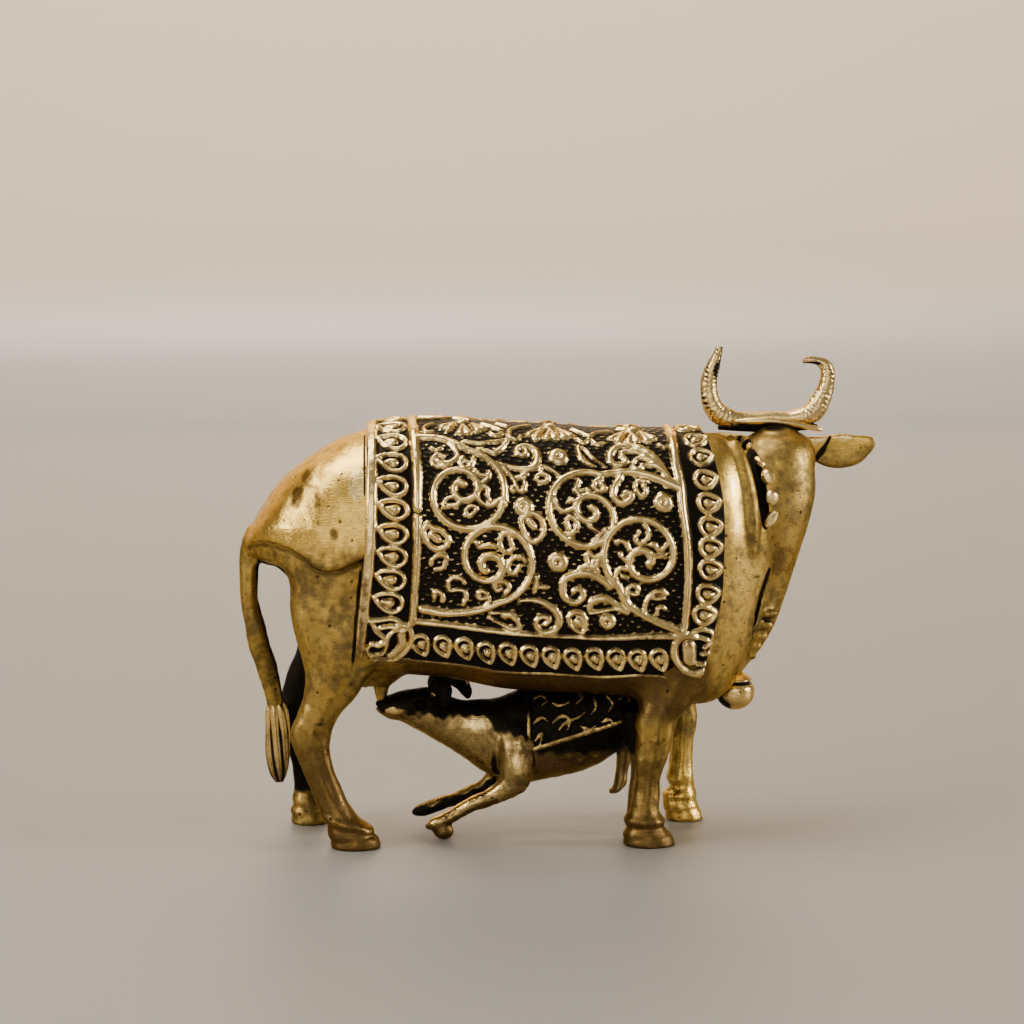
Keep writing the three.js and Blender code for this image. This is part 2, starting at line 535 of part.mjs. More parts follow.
/** Relief of one side of the cloth; the side turned away has the bars and the large scrolls only. */
function clothRelief(side) {
  const bars = clothBars(side);
  const scrollwork = scrolls.map(scroll => ridge(scrollLine(scroll), ridgeWidth, side));
  if (side < 0) return [...bars, ...scrollwork.slice(0, largeScrolls)];
  return [...bars, ...scrollwork, ...clothDrops(side),
    ...rosettes.map(([x, v]) => boss(x, v, rosetteRadius, rosetteRadius, 0, side)),
    ...leaves.map(([x, v, turn, long]) => boss(x, v, leafRadius, long, turn, side)),
    ...spineFlowers.map(([x, v]) => boss(x, v, flowerRadius, flowerRadius, 90, side))];
}

/** Side of the neck at a height, at x. */
function neckSide(x, z, side) {
  const [middle, y, long, wide] = along(neckTable, z);
  const share = Math.min(Math.abs(x - middle) / long, neckRimRatio);
  return y + side * wide * Math.sqrt(1 - share * share);
}

/** Beads of the necklace and the bell that hangs under the throat. */
function necklace() {
  const [bellX, bellY, bellTop] = bellPlace;
  const bell = loft(bellProfile.map(([t, share]) => ring(
    new THREE.Vector3(bellX, bellY, bellTop - bellHeight * t),
    new THREE.Vector3(bellRadius * share, 0, 0), new THREE.Vector3(0, bellRadius * share, 0), bellSides)));
  return [bell, ...[-1, 1].flatMap(side => [
    ...beads.map(([x, z]) => ball(x, neckSide(x, z, side), z, beadRadius, beadTallRatio)),
    ...smallBeads.map(([x, z]) => new THREE.IcosahedronGeometry(smallBeadRadius)
      .translate(x, neckSide(x, z, side) * smallBeadInsetRatio, z)),
  ])];
}

/** Every piece of the casting, each a closed mesh that overlaps its neighbour. */
function castingPieces() {
  const forward = new THREE.Vector3(1, 0, 0);
  const left = new THREE.Vector3(0, 1, 0);
  const [bag, ...teats] = udderTables;
  const levelCuts = [...[...legTables, bag].map(table => upright(table, legSides)),
    ...teats.map(table => upright(table, limbSides))];
  const horns = [nearHornPath, farHornPath].map(path => limb(path, left, hornSides));
  const limbs = [rightEarPath, leftEarPath, tailPath, ...calfEarPaths, ...calfLimbs]
    .map(path => limb(path, left, limbSides));
  return [
    torso(), cloth(), upright(neckTable, neckSides), limb(headPath, forward, neckSides),
    limb(hornBand, left, hornBandSides), calfBody(), calfCloth(),
    ...levelCuts, ...horns, ...limbs,
    ball(...pebble, pebbleRadius, pebbleRadius),
    ...necklace(), ...clothRelief(1), ...clothRelief(-1),
  ];
}

/** Closed geometry as a solid that can be joined to others. */
function toSolid(wasm, geometry) {
  const bare = geometry.clone();
  bare.deleteAttribute('normal');
  bare.deleteAttribute('uv');
  const merged = mergeVertices(bare, 1e-4);
  const triVerts = new Uint32Array(merged.index.array);
  const vertProperties = new Float32Array(merged.attributes.position.array);
  return new wasm.Manifold(new wasm.Mesh({ numProp: 3, vertProperties, triVerts }));
}

/** Union of the pieces as one geometry, centred on its base. */
async function cast(pieces) {
  const wasm = await Module();
  wasm.setup();
  const whole = pieces.map(piece => toSolid(wasm, piece)).reduce((sum, next) => sum.add(next));
  const mesh = whole.getMesh();
  const geometry = new THREE.BufferGeometry();
  geometry.setAttribute('position', new THREE.BufferAttribute(mesh.vertProperties, 3));
  geometry.setIndex(new THREE.BufferAttribute(mesh.triVerts, 1));
  geometry.computeBoundingBox();
  const { min, max } = geometry.boundingBox;
  return geometry.translate(-(min.x + max.x) / 2, -(min.y + max.y) / 2, -min.z);
}

const casting = new THREE.Mesh(await cast(castingPieces()), brass);
casting.name = 'cow_and_calf';

const kamdhenu = new THREE.Group();
kamdhenu.add(casting);

export default kamdhenu;
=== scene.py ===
"""A small antiqued brass kamdhenu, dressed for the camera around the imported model.

Sizes are in millimetres in the maker's frame: +X towards the cow's head end, -Y to her right side,
which faces the camera, +Z up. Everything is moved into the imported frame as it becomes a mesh.
"""

import logging
import math
from dataclasses import dataclass, field
from enum import Enum
from itertools import product
from typing import Callable

import bpy
import numpy as np
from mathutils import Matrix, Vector


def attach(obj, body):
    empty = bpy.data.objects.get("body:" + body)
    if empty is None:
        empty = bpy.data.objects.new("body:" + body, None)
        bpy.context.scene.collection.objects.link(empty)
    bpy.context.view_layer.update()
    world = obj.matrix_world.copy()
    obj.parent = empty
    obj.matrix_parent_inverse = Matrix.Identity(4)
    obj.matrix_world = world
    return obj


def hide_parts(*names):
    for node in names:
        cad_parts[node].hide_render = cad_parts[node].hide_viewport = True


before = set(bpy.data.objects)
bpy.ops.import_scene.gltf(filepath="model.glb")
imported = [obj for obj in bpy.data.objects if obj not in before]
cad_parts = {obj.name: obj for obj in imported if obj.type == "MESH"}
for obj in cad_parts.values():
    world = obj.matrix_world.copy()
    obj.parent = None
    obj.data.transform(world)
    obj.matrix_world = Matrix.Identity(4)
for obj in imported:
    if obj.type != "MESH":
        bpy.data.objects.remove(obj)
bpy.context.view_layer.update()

log = logging.getLogger("kamdhenu")

Array = np.ndarray
Colour = tuple[float, float, float]
Triple = tuple[float, float, float]
Pair = tuple[float, float]
Spot = tuple[float, Triple, Triple]
Widths = float | tuple[float, ...]
Stroke = tuple[Widths, tuple[Pair, ...]]
Shape = Callable[[Array, Array, Array], Array]
Socket = bpy.types.NodeSocket

# Metres in a millimetre, and the move from the maker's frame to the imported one, in millimetres.
MM = 0.001
CAST_SHIFT = np.array([-0.4613, -1.5944, 0.0])
CAD_NODE = "cow_and_calf"
BODY = "root"
FAR_AWAY = 9.0
TINY = 1e-6
FORWARD = np.array([1.0, 0.0, 0.0])
LEFTWARD = np.array([0.0, 1.0, 0.0])


class Side(Enum):
    """Which flank of the cow a piece is on; the value is the sign of its v on the cloth."""

    RIGHT = 1
    LEFT = -1


# Barrel of the cow: x, top, belly, height of the widest line, half width.
TORSO = np.array([
    [-38.9, 37.8, 36.4, 37.1, 1], [-38.1, 39.3, 35.6, 37.4, 4.4], [-36.7, 41.7, 34.9, 38.1, 6.9],
    [-34.5, 44.8, 34, 38.3, 8.8], [-31.9, 47.2, 31, 37.9, 10.1], [-28.2, 49.6, 25, 37.5, 10.8],
    [-23.8, 51.4, 21.8, 37, 11], [-19.5, 52.1, 21.1, 36, 11], [-13.3, 52.2, 20.5, 35, 11.2],
    [-7.1, 51.8, 19.2, 34.5, 11.4], [-0.8, 51.5, 18.7, 34.5, 11.4], [5.4, 51, 18.3, 34.5, 11.1],
    [11.7, 51, 17.6, 35, 10.6], [17.9, 50.8, 16.8, 35.5, 9.4], [21.2, 50.2, 18.2, 36, 8],
    [23.7, 46.5, 22, 36, 6.2], [25.4, 42, 27, 36, 4.2], [26.4, 38.5, 32.5, 35.5, 1.5],
])

# Neck and dewlap, cut level: z, x, y, half length, half width.
NECK = np.array([
    [19.9, 21.2, 0, 1.4, 1.2], [22.5, 21.3, 0, 3.8, 2.2], [26, 21.9, 0, 5.4, 3.1], [30, 22.4, 0, 6.4, 4],
    [34.5, 23.2, 0, 7, 4.8], [39.5, 24.5, 0.2, 7.25, 5.2], [43.1, 26, 0.8, 6.6, 5],
    [45.7, 27, 1.4, 5.6, 4.9], [48.3, 27.8, 2, 4.7, 4.5], [49.9, 28, 2.6, 3.5, 3.4],
    [50.5, 28, 2.8, 1.6, 1.6],
])

# Legs from the sole to the hip or shoulder: z, x, y, half length, half width.
RIGHT_HIND = np.array([
    [0, -25.2, -7, 3.15, 2.7], [1.6, -25.6, -7, 3.1, 2.6], [3.6, -26.9, -7, 2.3, 2.2],
    [5.6, -28.1, -7, 2, 1.75], [7.9, -29.1, -7, 1.95, 1.6], [10.1, -30, -7, 2, 1.65],
    [12.3, -30.6, -7, 2.25, 1.75], [14.6, -30.7, -7, 2.6, 1.9], [16.7, -29.8, -7, 2.7, 2.1],
    [19.2, -28.3, -7, 3.3, 2.4], [22.4, -27.5, -7.2, 4, 2.8], [26.3, -27.9, -7.4, 4.5, 3.2],
    [31.3, -28.7, -7.4, 5, 3.5], [36.2, -28.7, -6.9, 5.3, 3.6], [40, -29.4, -6.6, 5.8, 3.2],
])
LEFT_HIND = np.array([
    [0, -31.2, 7, 2.4, 2.4], [1.6, -31.4, 7, 2.3, 2.3], [3.5, -31.7, 7, 1.6, 1.8],
    [6.2, -31.8, 7, 1.5, 1.5], [9.4, -32.2, 7, 1.7, 1.5], [12.3, -32.7, 7, 2.3, 1.7],
    [15.3, -32, 7, 3, 1.9], [19.2, -30.4, 7, 3.7, 2.3], [23.2, -28.7, 7.1, 3.9, 2.8],
    [27.5, -28.4, 7.3, 4.5, 3.2], [32, -28.5, 7.3, 4.8, 3.5], [36, -28.7, 6.9, 5.3, 3.6],
    [40, -29.4, 6.6, 5.8, 3.2],
])
RIGHT_FORE = np.array([
    [0, 11.3, -7, 3.3, 2.8], [1, 11.1, -7, 3.2, 2.7], [2.2, 10.8, -7, 2.6, 2.4], [3.4, 10.6, -7, 2.3, 2.2],
    [4.3, 10.6, -7, 1.9, 1.9], [5.6, 10.8, -7, 1.75, 1.75], [8.2, 11, -7, 1.6, 1.6],
    [10.7, 11.4, -7, 2.05, 1.8], [13.2, 11.8, -7, 2.3, 1.95], [15.7, 12.1, -7, 2.6, 2.1],
    [18.2, 13.4, -6.8, 3.3, 2.5], [23.1, 14.6, -6.2, 3.9, 2.9], [28, 15.1, -5.7, 4.2, 3.3],
    [33, 15.6, -5.2, 4.6, 3.6],
])
LEFT_FORE = np.array([
    [0, 17.1, 7, 2.4, 2.4], [1.5, 16.7, 7, 2.4, 2.3], [3.2, 16.3, 7, 2.2, 2.1], [4.3, 16.7, 7, 1.6, 1.6],
    [5.4, 16.4, 7, 1.8, 1.75], [7.1, 16.5, 7, 1.5, 1.55], [10.3, 16.6, 7, 1.55, 1.6],
    [12.9, 16.8, 7, 1.8, 1.8], [15.5, 16.4, 7, 2, 1.9], [18.1, 16.3, 7, 2.3, 2.1], [26, 16, 6.2, 3.6, 2.9],
    [33, 16, 5.2, 4.2, 3.4],
])
UDDER = np.array([[19.4, -22.8, 0.0, 2.4, 2.8], [21.0, -23.0, 0.0, 3.9, 4.0], [24.0, -23.0, 0.0, 4.6, 4.4]])
TEATS = [
    np.array([[16.7, -22, 0.2, 0.5, 0.5], [18.2, -22, 0.2, 0.85, 0.85], [20.5, -21.9, 0.2, 1.4, 1.4]]),
    np.array([[18.4, -24, 2.4, 0.5, 0.5], [19.4, -24, 2.4, 0.8, 0.8], [21, -24, 2.4, 1.2, 1.2]]),
]

# Limbs along a path: x, y, z and two half thicknesses.
HEAD = np.array([
    [28, 0.6, 48.2, 2.8, 2.2], [28, 2.4, 47.9, 4, 3.3], [28.1, 4.8, 47.1, 4.4, 4.1],
    [28.2, 7.4, 45.7, 3.8, 3.9], [28.3, 9.9, 43.9, 3, 3.1], [28.4, 12.1, 42.3, 2.8, 2.5],
    [28.5, 13.7, 41.2, 2.8, 2.3], [28.5, 14.7, 40.5, 2, 1.6],
])
HORN_CRESCENT = np.array([
    [20.75, 4, 61.3, 0.44, 0.44], [20.5, 4, 60.3, 0.56, 0.56], [20, 4.1, 58.9, 0.85, 0.85],
    [19.5, 4.2, 57.3, 1.02, 1.02], [19.45, 4.2, 55.75, 1.06, 1.06], [19.7, 4.1, 54.35, 1.2, 1.2],
    [20.5, 4.1, 53, 1.32, 1.32], [21.8, 4, 52.25, 1.3, 1.3], [23.4, 4, 52.05, 1.1, 1],
    [25, 4, 52.15, 1, 0.85], [27.2, 4, 52.3, 0.95, 0.8], [29.6, 4, 52.2, 1, 0.9], [31.4, 4, 52.4, 1.2, 1.2],
    [32.7, 4, 53.1, 1.38, 1.38], [33.45, 4, 54.2, 1.28, 1.28], [34.05, 4.1, 55.4, 1.12, 1.12],
    [34.4, 4.1, 56.7, 0.98, 0.98], [34.5, 4.2, 57.9, 0.93, 0.93], [34.15, 4.2, 58.8, 0.8, 0.8],
    [33.3, 4.1, 59.35, 0.56, 0.56], [32.3, 4, 59.55, 0.48, 0.48], [31.3, 4, 59.55, 0.44, 0.44],
])
HORN_BAND = np.array([
    [22.6, 2.3, 52, 0.25, 0.25], [24.5, 2.2, 52, 0.5, 0.42], [26.7, 2.2, 52.05, 0.55, 0.46],
    [28.9, 2.2, 51.85, 0.5, 0.4], [31.1, 2.3, 51.4, 0.45, 0.38], [32.8, 2.5, 51, 0.4, 0.34],
    [33.7, 2.7, 50.8, 0.2, 0.18],
])
HORN_PAD = np.array([
    [20.6, 3.9, 51, 0.3, 0.25], [22.4, 3.8, 51.2, 0.7, 0.6], [25.5, 3.8, 51.3, 1, 0.85],
    [29, 3.8, 51.3, 1, 0.85], [31.8, 3.9, 51.2, 0.7, 0.55], [33.2, 4, 51.1, 0.3, 0.25],
])
RIGHT_EAR = np.array([
    [30.9, 3, 48.9, 0.7, 1], [33, 3, 48.4, 0.85, 1.6], [34.6, 3, 48.1, 0.95, 2.05],
    [36.1, 3, 48.1, 0.95, 2.2], [37.7, 3, 48.3, 0.9, 2], [38.9, 3, 48.75, 0.75, 1.45],
    [39.8, 3, 49.15, 0.6, 0.95], [40.3, 3, 49.4, 0.35, 0.5],
])
LEFT_EAR = np.array([
    [25.6, 3.6, 48.7, 0.7, 1], [23.9, 5, 48.6, 0.8, 1.4], [22.5, 6.2, 48.2, 0.95, 1.9],
    [21.1, 7.4, 48, 0.95, 2.1], [19.8, 8.5, 48.2, 0.75, 1.6], [18.9, 9.3, 48.5, 0.6, 1],
    [18.4, 9.8, 48.7, 0.35, 0.5],
])
TAIL = np.array([
    [-37.2, 0, 38.2, 1.3, 1.7], [-38.1, 0, 36.4, 1.35, 1.45], [-38.4, 0, 34.2, 1.2, 1.2],
    [-38.45, 0, 31.5, 1.2, 1.15], [-38.2, 0.2, 28.8, 1.2, 1.2], [-37.7, 0.5, 26.2, 1.2, 1.3],
    [-37, 1.1, 23.5, 1.15, 1.35], [-36.3, 2, 20.7, 1.1, 1.3], [-35.7, 3, 18, 1, 1.15],
    [-35.3, 3.9, 15.4, 1, 1],
])
TUFT = np.array([
    [-35.7, 3.4, 16.9, 0.7, 0.7], [-35.3, 3.9, 15.4, 1.35, 1.35], [-35.2, 4.2, 12.5, 1.5, 1.5],
    [-35.2, 4.3, 9.5, 1.4, 1.45], [-35.1, 4.4, 7.2, 1.1, 1.1], [-35, 4.4, 5.9, 0.5, 0.5],
])

# Lines down the right side of the neck, mirrored for the left: x, y, z and two half thicknesses.
NECK_FOLD = np.array([
    [22, -2.6, 49.4, 0.8, 0.9], [22.7, -3.7, 47.3, 1, 1.1], [23.3, -4.6, 44.8, 1.1, 1.15],
    [23.7, -5.3, 42.2, 1.1, 1.15], [23.9, -5.6, 39.6, 1, 1.1], [23.9, -5.5, 36.8, 0.7, 0.8],
])
NECK_GAP = np.array([
    [23.3, -0.6, 49.9, 0.7, 0.8], [23.9, -1.6, 48.7, 0.75, 0.9], [24.6, -3.3, 46.4, 0.7, 1],
    [25.1, -4.3, 44, 0.65, 1], [25.5, -4.9, 41.6, 0.5, 0.8], [25.7, -5.1, 39.6, 0.25, 0.4],
])
NECK_CREASE = np.array([
    [26.4, -4.5, 34.2, 0.15, 0.3], [25.9, -4.3, 32.5, 0.25, 0.4], [25, -4.2, 30, 0.3, 0.5],
    [24.2, -4, 27.6, 0.45, 0.7], [23.6, -3.7, 25.2, 0.5, 0.8], [23, -2.9, 22.6, 0.4, 0.7],
])

CALF_MOUTH = np.array([
    [-20.2, -1.7, 15.5, 0.16, 0.16], [-22, -1.2, 16.1, 0.16, 0.16], [-22.7, 0.2, 16.4, 0.16, 0.16],
    [-22, 1.6, 16.1, 0.16, 0.16],
])
COW_MOUTH = np.array([
    [25.6, 13, 40.9, 0.22, 0.22], [26.6, 14.6, 40.4, 0.22, 0.22], [28.5, 15.4, 40.2, 0.22, 0.22],
    [30.4, 14.6, 40.4, 0.22, 0.22], [31.4, 13, 40.9, 0.22, 0.22],
])

# Knots of hide down the dewlap: x, z, half length.
KNOTS = ((26.4, 28.3, 1.3), (26.0, 26.8, 1.2), (25.5, 25.4, 1.05), (24.9, 24.1, 0.9), (24.4, 22.9, 0.75))

# Calf from muzzle to rump: x, top, underside, half width, middle.
CALF = np.array([
    [-22.7, 17, 16, 0.6, 0.15], [-22.3, 17.4, 15.5, 1.3, 0.2], [-21, 17.8, 14.8, 1.6, 0.25],
    [-19.7, 18.2, 14.4, 1.8, 0.35], [-17.8, 18.6, 13.4, 2.3, 0.45], [-15.9, 18.6, 12.3, 2.5, 0.55],
    [-13.4, 17.5, 10.8, 2.2, 0.65], [-11.6, 17, 9.6, 2.4, 0.75], [-9.5, 17, 8, 3, 0.9],
    [-7, 17.3, 6.8, 3.9, 1.05], [-4, 18.4, 6.3, 4.3, 1.2], [0, 18.9, 6.9, 4.4, 1.4],
    [4.5, 19.4, 8, 4.3, 1.65], [8, 19, 10.1, 4, 1.85], [10.8, 17.4, 11.8, 2.9, 2],
    [12.3, 15.5, 13.5, 1, 2.1],
])
CALF_LIMBS = [
    np.array([
        [-5, -2.4, 13.2, 1.3, 1.6], [-5, -2.9, 11.4, 1.7, 2.1], [-5.1, -3.1, 9.2, 1.8, 2.15],
        [-5.5, -3.2, 7.2, 1.5, 1.8], [-7.8, -3.1, 5.6, 1.15, 1.15], [-10.6, -3, 4.4, 1, 0.95],
        [-13.2, -2.9, 2.95, 1, 0.85], [-15, -2.9, 2.05, 1, 0.9], [-16.1, -2.9, 1.6, 0.5, 0.5],
    ]),
    np.array([
        [-6, 3, 12, 2, 1.5], [-6.6, 3.2, 8.6, 1.8, 1.4], [-8.2, 3, 5.9, 1.1, 1.1],
        [-10.6, 2.8, 4.65, 0.95, 0.85], [-13.6, 2.6, 3.6, 0.95, 0.85], [-15.8, 2.5, 2.85, 1, 0.85],
        [-17.2, 2.5, 2.4, 0.9, 0.75], [-17.9, 2.5, 2.2, 0.4, 0.4],
    ]),
    np.array([
        [9.4, -1.6, 15.5, 2.4, 1.5], [10.2, -1.7, 11.4, 2, 1.3], [10.4, -1.6, 8.2, 1.3, 1.1],
        [10, -1.5, 5.6, 1, 0.95], [10, -1.5, 3.4, 1.05, 1], [9.7, -1.5, 1.6, 1.2, 1.1],
    ]),
    np.array([
        [9, 3.9, 15, 2.2, 1.4], [9.1, 4.1, 11.2, 1.5, 1.2], [8.9, 4.1, 8.6, 1, 0.95],
        [8.7, 4.1, 6.8, 0.8, 0.8], [8.5, 4, 5.6, 0.9, 0.8], [8, 4, 4.7, 1.1, 0.55],
        [7.4, 4, 4.4, 0.7, 0.35],
    ]),
]
CALF_EARS = [
    np.array([
        [-15.2, -1.5, 20.2, 0.35, 0.5], [-14.5, -2.3, 20, 0.45, 0.85], [-14.1, -2.9, 19, 0.5, 0.9],
        [-14.1, -3, 17.9, 0.45, 0.7], [-14.3, -2.9, 17, 0.3, 0.35],
    ]),
    np.array([
        [-15.2, 1.9, 18.8, 0.5, 0.8], [-13.3, 2.8, 19.5, 0.45, 1], [-11.9, 3.3, 18.8, 0.45, 1],
        [-11.2, 3.5, 17.6, 0.35, 0.8], [-11, 3.5, 16.8, 0.2, 0.4],
    ]),
]

# Edges of the saddle cloth: depth down the flank from the spine, x.
REAR_EDGE = np.array([
    [0, -23.7], [6, -23.7], [13.4, -23.7], [20.8, -24], [25.7, -24.5], [35, -25.5], [39, -25.8],
])
FRONT_EDGE = np.array([
    [0, 17.9], [5.8, 18.8], [12.9, 20.1], [20.4, 20.1], [25.7, 19.7], [36, 17.3], [39, 16.5],
])


def spline(rows: Array, steps: int = 6, closed: bool = False) -> Array:
    """Smooth line through rows of numbers.

    Each span is the cubic that leaves and arrives along the chords between the neighbouring rows.

    Args:
        rows: The points, one a row, with any number of columns.
        steps: Points for each span.
        closed: Whether the last row leads back to the first.

    Returns:
        The points of the line, one a row.
    """
    rows = np.asarray(rows, float)
    if closed:
        padded = np.vstack([rows[-1:], rows, rows[:2]])
    else:
        padded = np.vstack([2 * rows[:1] - rows[1:2], rows, 2 * rows[-1:] - rows[-2:-1]])
    before, start, stop, after = padded[:-3], padded[1:-2], padded[2:-1], padded[3:]
    t = (np.arange(steps) / steps)[None, :, None]
    leave = (stop - before)[:, None] / 2
    arrive = (after - start)[:, None] / 2
    line = (
        (2 * t**3 - 3 * t**2 + 1) * start[:, None]
        + (t**3 - 2 * t**2 + t) * leave
        + (3 * t**2 - 2 * t**3) * stop[:, None]
        + (t**3 - t**2) * arrive
    ).reshape(-1, rows.shape[1])
    return line if closed else np.vstack([line, rows[-1:]])


def table_at(table: Array, key: Array) -> list[Array]:
    """Columns of a table at any keys, on smooth cubics between its rows.

    Args:
        table: Rows with a rising key first.
        key: Where to read it, in an array of any shape.

    Returns:
        One array a column after the key, each in the shape of key.
    """
    at, value = table[:, 0], table[:, 1:]
    slope = np.empty_like(value)
    slope[1:-1] = (value[2:] - value[:-2]) / (at[2:] - at[:-2])[:, None]
    slope[0] = (value[1] - value[0]) / (at[1] - at[0])
    slope[-1] = (value[-1] - value[-2]) / (at[-1] - at[-2])
    key = np.clip(key, at[0], at[-1])
    i = np.clip(np.searchsorted(at, key) - 1, 0, len(at) - 2)
    span = at[i + 1] - at[i]
    t = (key - at[i]) / span
    start, stop = 2 * t**3 - 3 * t**2 + 1, 3 * t**2 - 2 * t**3
    leave, arrive = (t**3 - 2 * t**2 + t) * span, (t**3 - t**2) * span
    return [
        start * value[i, c] + leave * slope[i, c] + stop * value[i + 1, c] + arrive * slope[i + 1, c]
        for c in range(value.shape[1])
    ]


def smooth_step(low: float, high: float, value: Array) -> Array:
    """Nought below low, one above high, and the cubic 3t^2 - 2t^3 in between."""
    t = np.clip((value - low) / (high - low), 0, 1)
    return t * t * (3 - 2 * t)


def fade(value: Array, width: float) -> Array:
    """One where the value is nought, fading to both sides as exp(-(value / width)^2)."""
    return np.exp(-((value / width) ** 2))


def unit(vectors: Array) -> Array:
    """Vectors at length one."""
    return vectors / np.maximum(np.linalg.norm(vectors, axis=-1, keepdims=True), TINY)


def wander(x: Array, y: Array, z: Array, pitch: float, seed: float) -> Array:
    """Smooth uneven field between about -1 and 1: a sum of skewed sines with no common period.

    Args:
        x, y, z: Places.
        pitch: Size of its lumps.
        seed: Shifts the pattern.

    Returns:
        The field at the places.
    """
    a, b, c = x / pitch, y / pitch, z / pitch
    return (
        np.sin(2.1 * a + 1.7 * b + seed) * np.sin(1.3 * c - 0.9 * a + 2 * seed)
        + np.sin(3.3 * b - 2.3 * c + 3 * seed) * np.sin(2.9 * a + 0.7 * c + seed)
    ) / 2


@dataclass
class Skin:
    """A closed surface on its way to becoming a mesh.

    Attributes:
        points: Its points in the maker's frame.
        quads: Four-cornered faces.
        tris: Three-cornered faces.
        marks: Named values at the points, which the finishes read.
    """

    points: Array
    quads: Array
    tris: Array = field(default_factory=lambda: np.zeros((0, 3), int))
    marks: dict[str, Array] = field(default_factory=dict)

    def outward(self) -> "Skin":
        """The same surface with its faces turned so that the volume it encloses is positive.

        Returns:
            This surface, or a copy of it with the faces turned over.
        """
        p = self.points
        corners = np.vstack([self.quads[:, [0, 1, 2]], self.quads[:, [0, 2, 3]], self.tris])
        a, b, c = p[corners[:, 0]], p[corners[:, 1]], p[corners[:, 2]]
        if (a * np.cross(b, c)).sum() < 0:
            return Skin(p, self.quads[:, ::-1], self.tris[:, ::-1], self.marks)
        return self

    @staticmethod
    def together(skins: list["Skin"]) -> "Skin":
        """Several surfaces as one, each keeping its own points and marks.

        Args:
            skins: The surfaces.

        Returns:
            One surface with all their points, faces and marks.
        """
        starts = np.cumsum([0] + [len(s.points) for s in skins[:-1]])
        names = sorted({name for s in skins for name in s.marks})
        blank = [np.zeros(len(s.points)) for s in skins]
        marks = {n: np.concatenate([s.marks.get(n, none) for s, none in zip(skins, blank)]) for n in names}
        return Skin(
            np.vstack([s.points for s in skins]),
            np.vstack([s.quads + start for s, start in zip(skins, starts)]),
            np.vstack([s.tris + start for s, start in zip(skins, starts)]),
            marks,
        )

    def piece(self, name: str, finish: "AntiquedBrass", sharp_angle: float = 180.0) -> None:
        """Makes the surface a Blender object that rides on the casting's body and stands for it.

        Args:
            name: Name of the piece.
            finish: Its finish.
            sharp_angle: Faces that meet at more than this, in degrees, are shaded with an edge.
        """
        mesh = bpy.data.meshes.new(name)
        corners = np.concatenate([self.quads.ravel(), self.tris.ravel()]).astype(np.int32)
        sizes = np.concatenate([np.full(len(self.quads), 4), np.full(len(self.tris), 3)])
        starts = (np.cumsum(sizes) - sizes).astype(np.int32)
        mesh.vertices.add(len(self.points))
        mesh.vertices.foreach_set("co", ((self.points + CAST_SHIFT) * MM).astype(np.float32).ravel())
        mesh.loops.add(len(corners))
        mesh.loops.foreach_set("vertex_index", corners)
        mesh.polygons.add(len(sizes))
        mesh.polygons.foreach_set("loop_start", starts)
        mesh.update(calc_edges=True)
        mesh.validate()
        for mark, values in self.marks.items():
            layer = mesh.attributes.new(mark, "FLOAT", "POINT")
            layer.data.foreach_set("value", np.clip(values, 0, 1).astype(np.float32))
        mesh.polygons.foreach_set("use_smooth", np.ones(len(mesh.polygons), bool))
        if sharp_angle < 180:
            mesh.set_sharp_from_angle(angle=math.radians(sharp_angle))
        mesh.materials.append(finish.material())
        made = bpy.data.objects.new(name, mesh)
        bpy.context.scene.collection.objects.link(made)
        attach(made, BODY)
        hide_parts(CAD_NODE)
        log.info("%s: %d points, %d faces", name, len(self.points), len(sizes))


def box_of(points: Array, margin: float) -> tuple[Array, Array]:
    """Lowest and highest corner of the box round points, with a margin."""
    return points.min(0) - margin, points.max(0) + margin


def grid_faces(rows: int, columns: int, wrap: bool) -> Array:
    """Quads of a grid of points stored row by row.

    Args:
        rows, columns: Size of the grid.
        wrap: Whether the last column joins on to the first.

    Returns:
        The numbers of each quad's corners.
    """
    i = np.arange(rows - 1)[:, None] * columns
    j = np.arange(columns if wrap else columns - 1)[None, :]
    k = (j + 1) % columns
    return np.stack([i + j, i + k, i + columns + k, i + columns + j], -1).reshape(-1, 4)


def grid_border(rows: int, columns: int) -> Array:
    """Numbers of a grid's border points in order round it, from the first corner along the first row.

    Args:
        rows, columns: Size of the grid.

    Returns:
        The numbers, each once.
    """
    across, back = np.arange(columns), np.arange(columns - 2, -1, -1)
    down, up = np.arange(1, rows) * columns + columns - 1, np.arange(rows - 2, 0, -1) * columns
    return np.concatenate([across, down, (rows - 1) * columns + back, up])


def closed_tube(rings: Array, marks: dict[str, Array]) -> Skin:
    """Closed surface through a row of rings, with a fan to a pole over each end.

    Args:
        rings: Points, as (ring, place round it, xyz).
        marks: Values, as (ring, place round it) or in a shape that spreads to it.

    Returns:
        The surface, its faces outwards.
    """
    rows, columns = rings.shape[:2]
    points = np.vstack([rings.reshape(-1, 3), rings[0].mean(0)[None], rings[-1].mean(0)[None]])
    j = np.arange(columns)
    k = (j + 1) % columns
    start, end = rows * columns, rows * columns + 1
    last = (rows - 1) * columns
    tris = np.vstack([
        np.stack([np.full(columns, start), k, j], -1),
        np.stack([np.full(columns, end), last + j, last + k], -1),
    ])
    spread = {name: np.broadcast_to(mark, (rows, columns)) for name, mark in marks.items()}
    flat = {name: np.concatenate([m.ravel(), [m[0].mean(), m[-1].mean()]]) for name, m in spread.items()}
    return Skin(points, grid_faces(rows, columns, True), tris, flat).outward()


def frames_along(path: Array, side: Array) -> tuple[Array, Array]:
    """Directions that go with a path.

    Args:
        path: Points of the path in their first three columns.
        side: The direction that the first cross axis keeps close to.

    Returns:
        First cross axis, the side less its part along the path, and the second.
    """
    way = unit(np.gradient(path[:, :3], axis=0))
    across = unit(side - (way @ side)[:, None] * way)
    return across, np.cross(way, across)


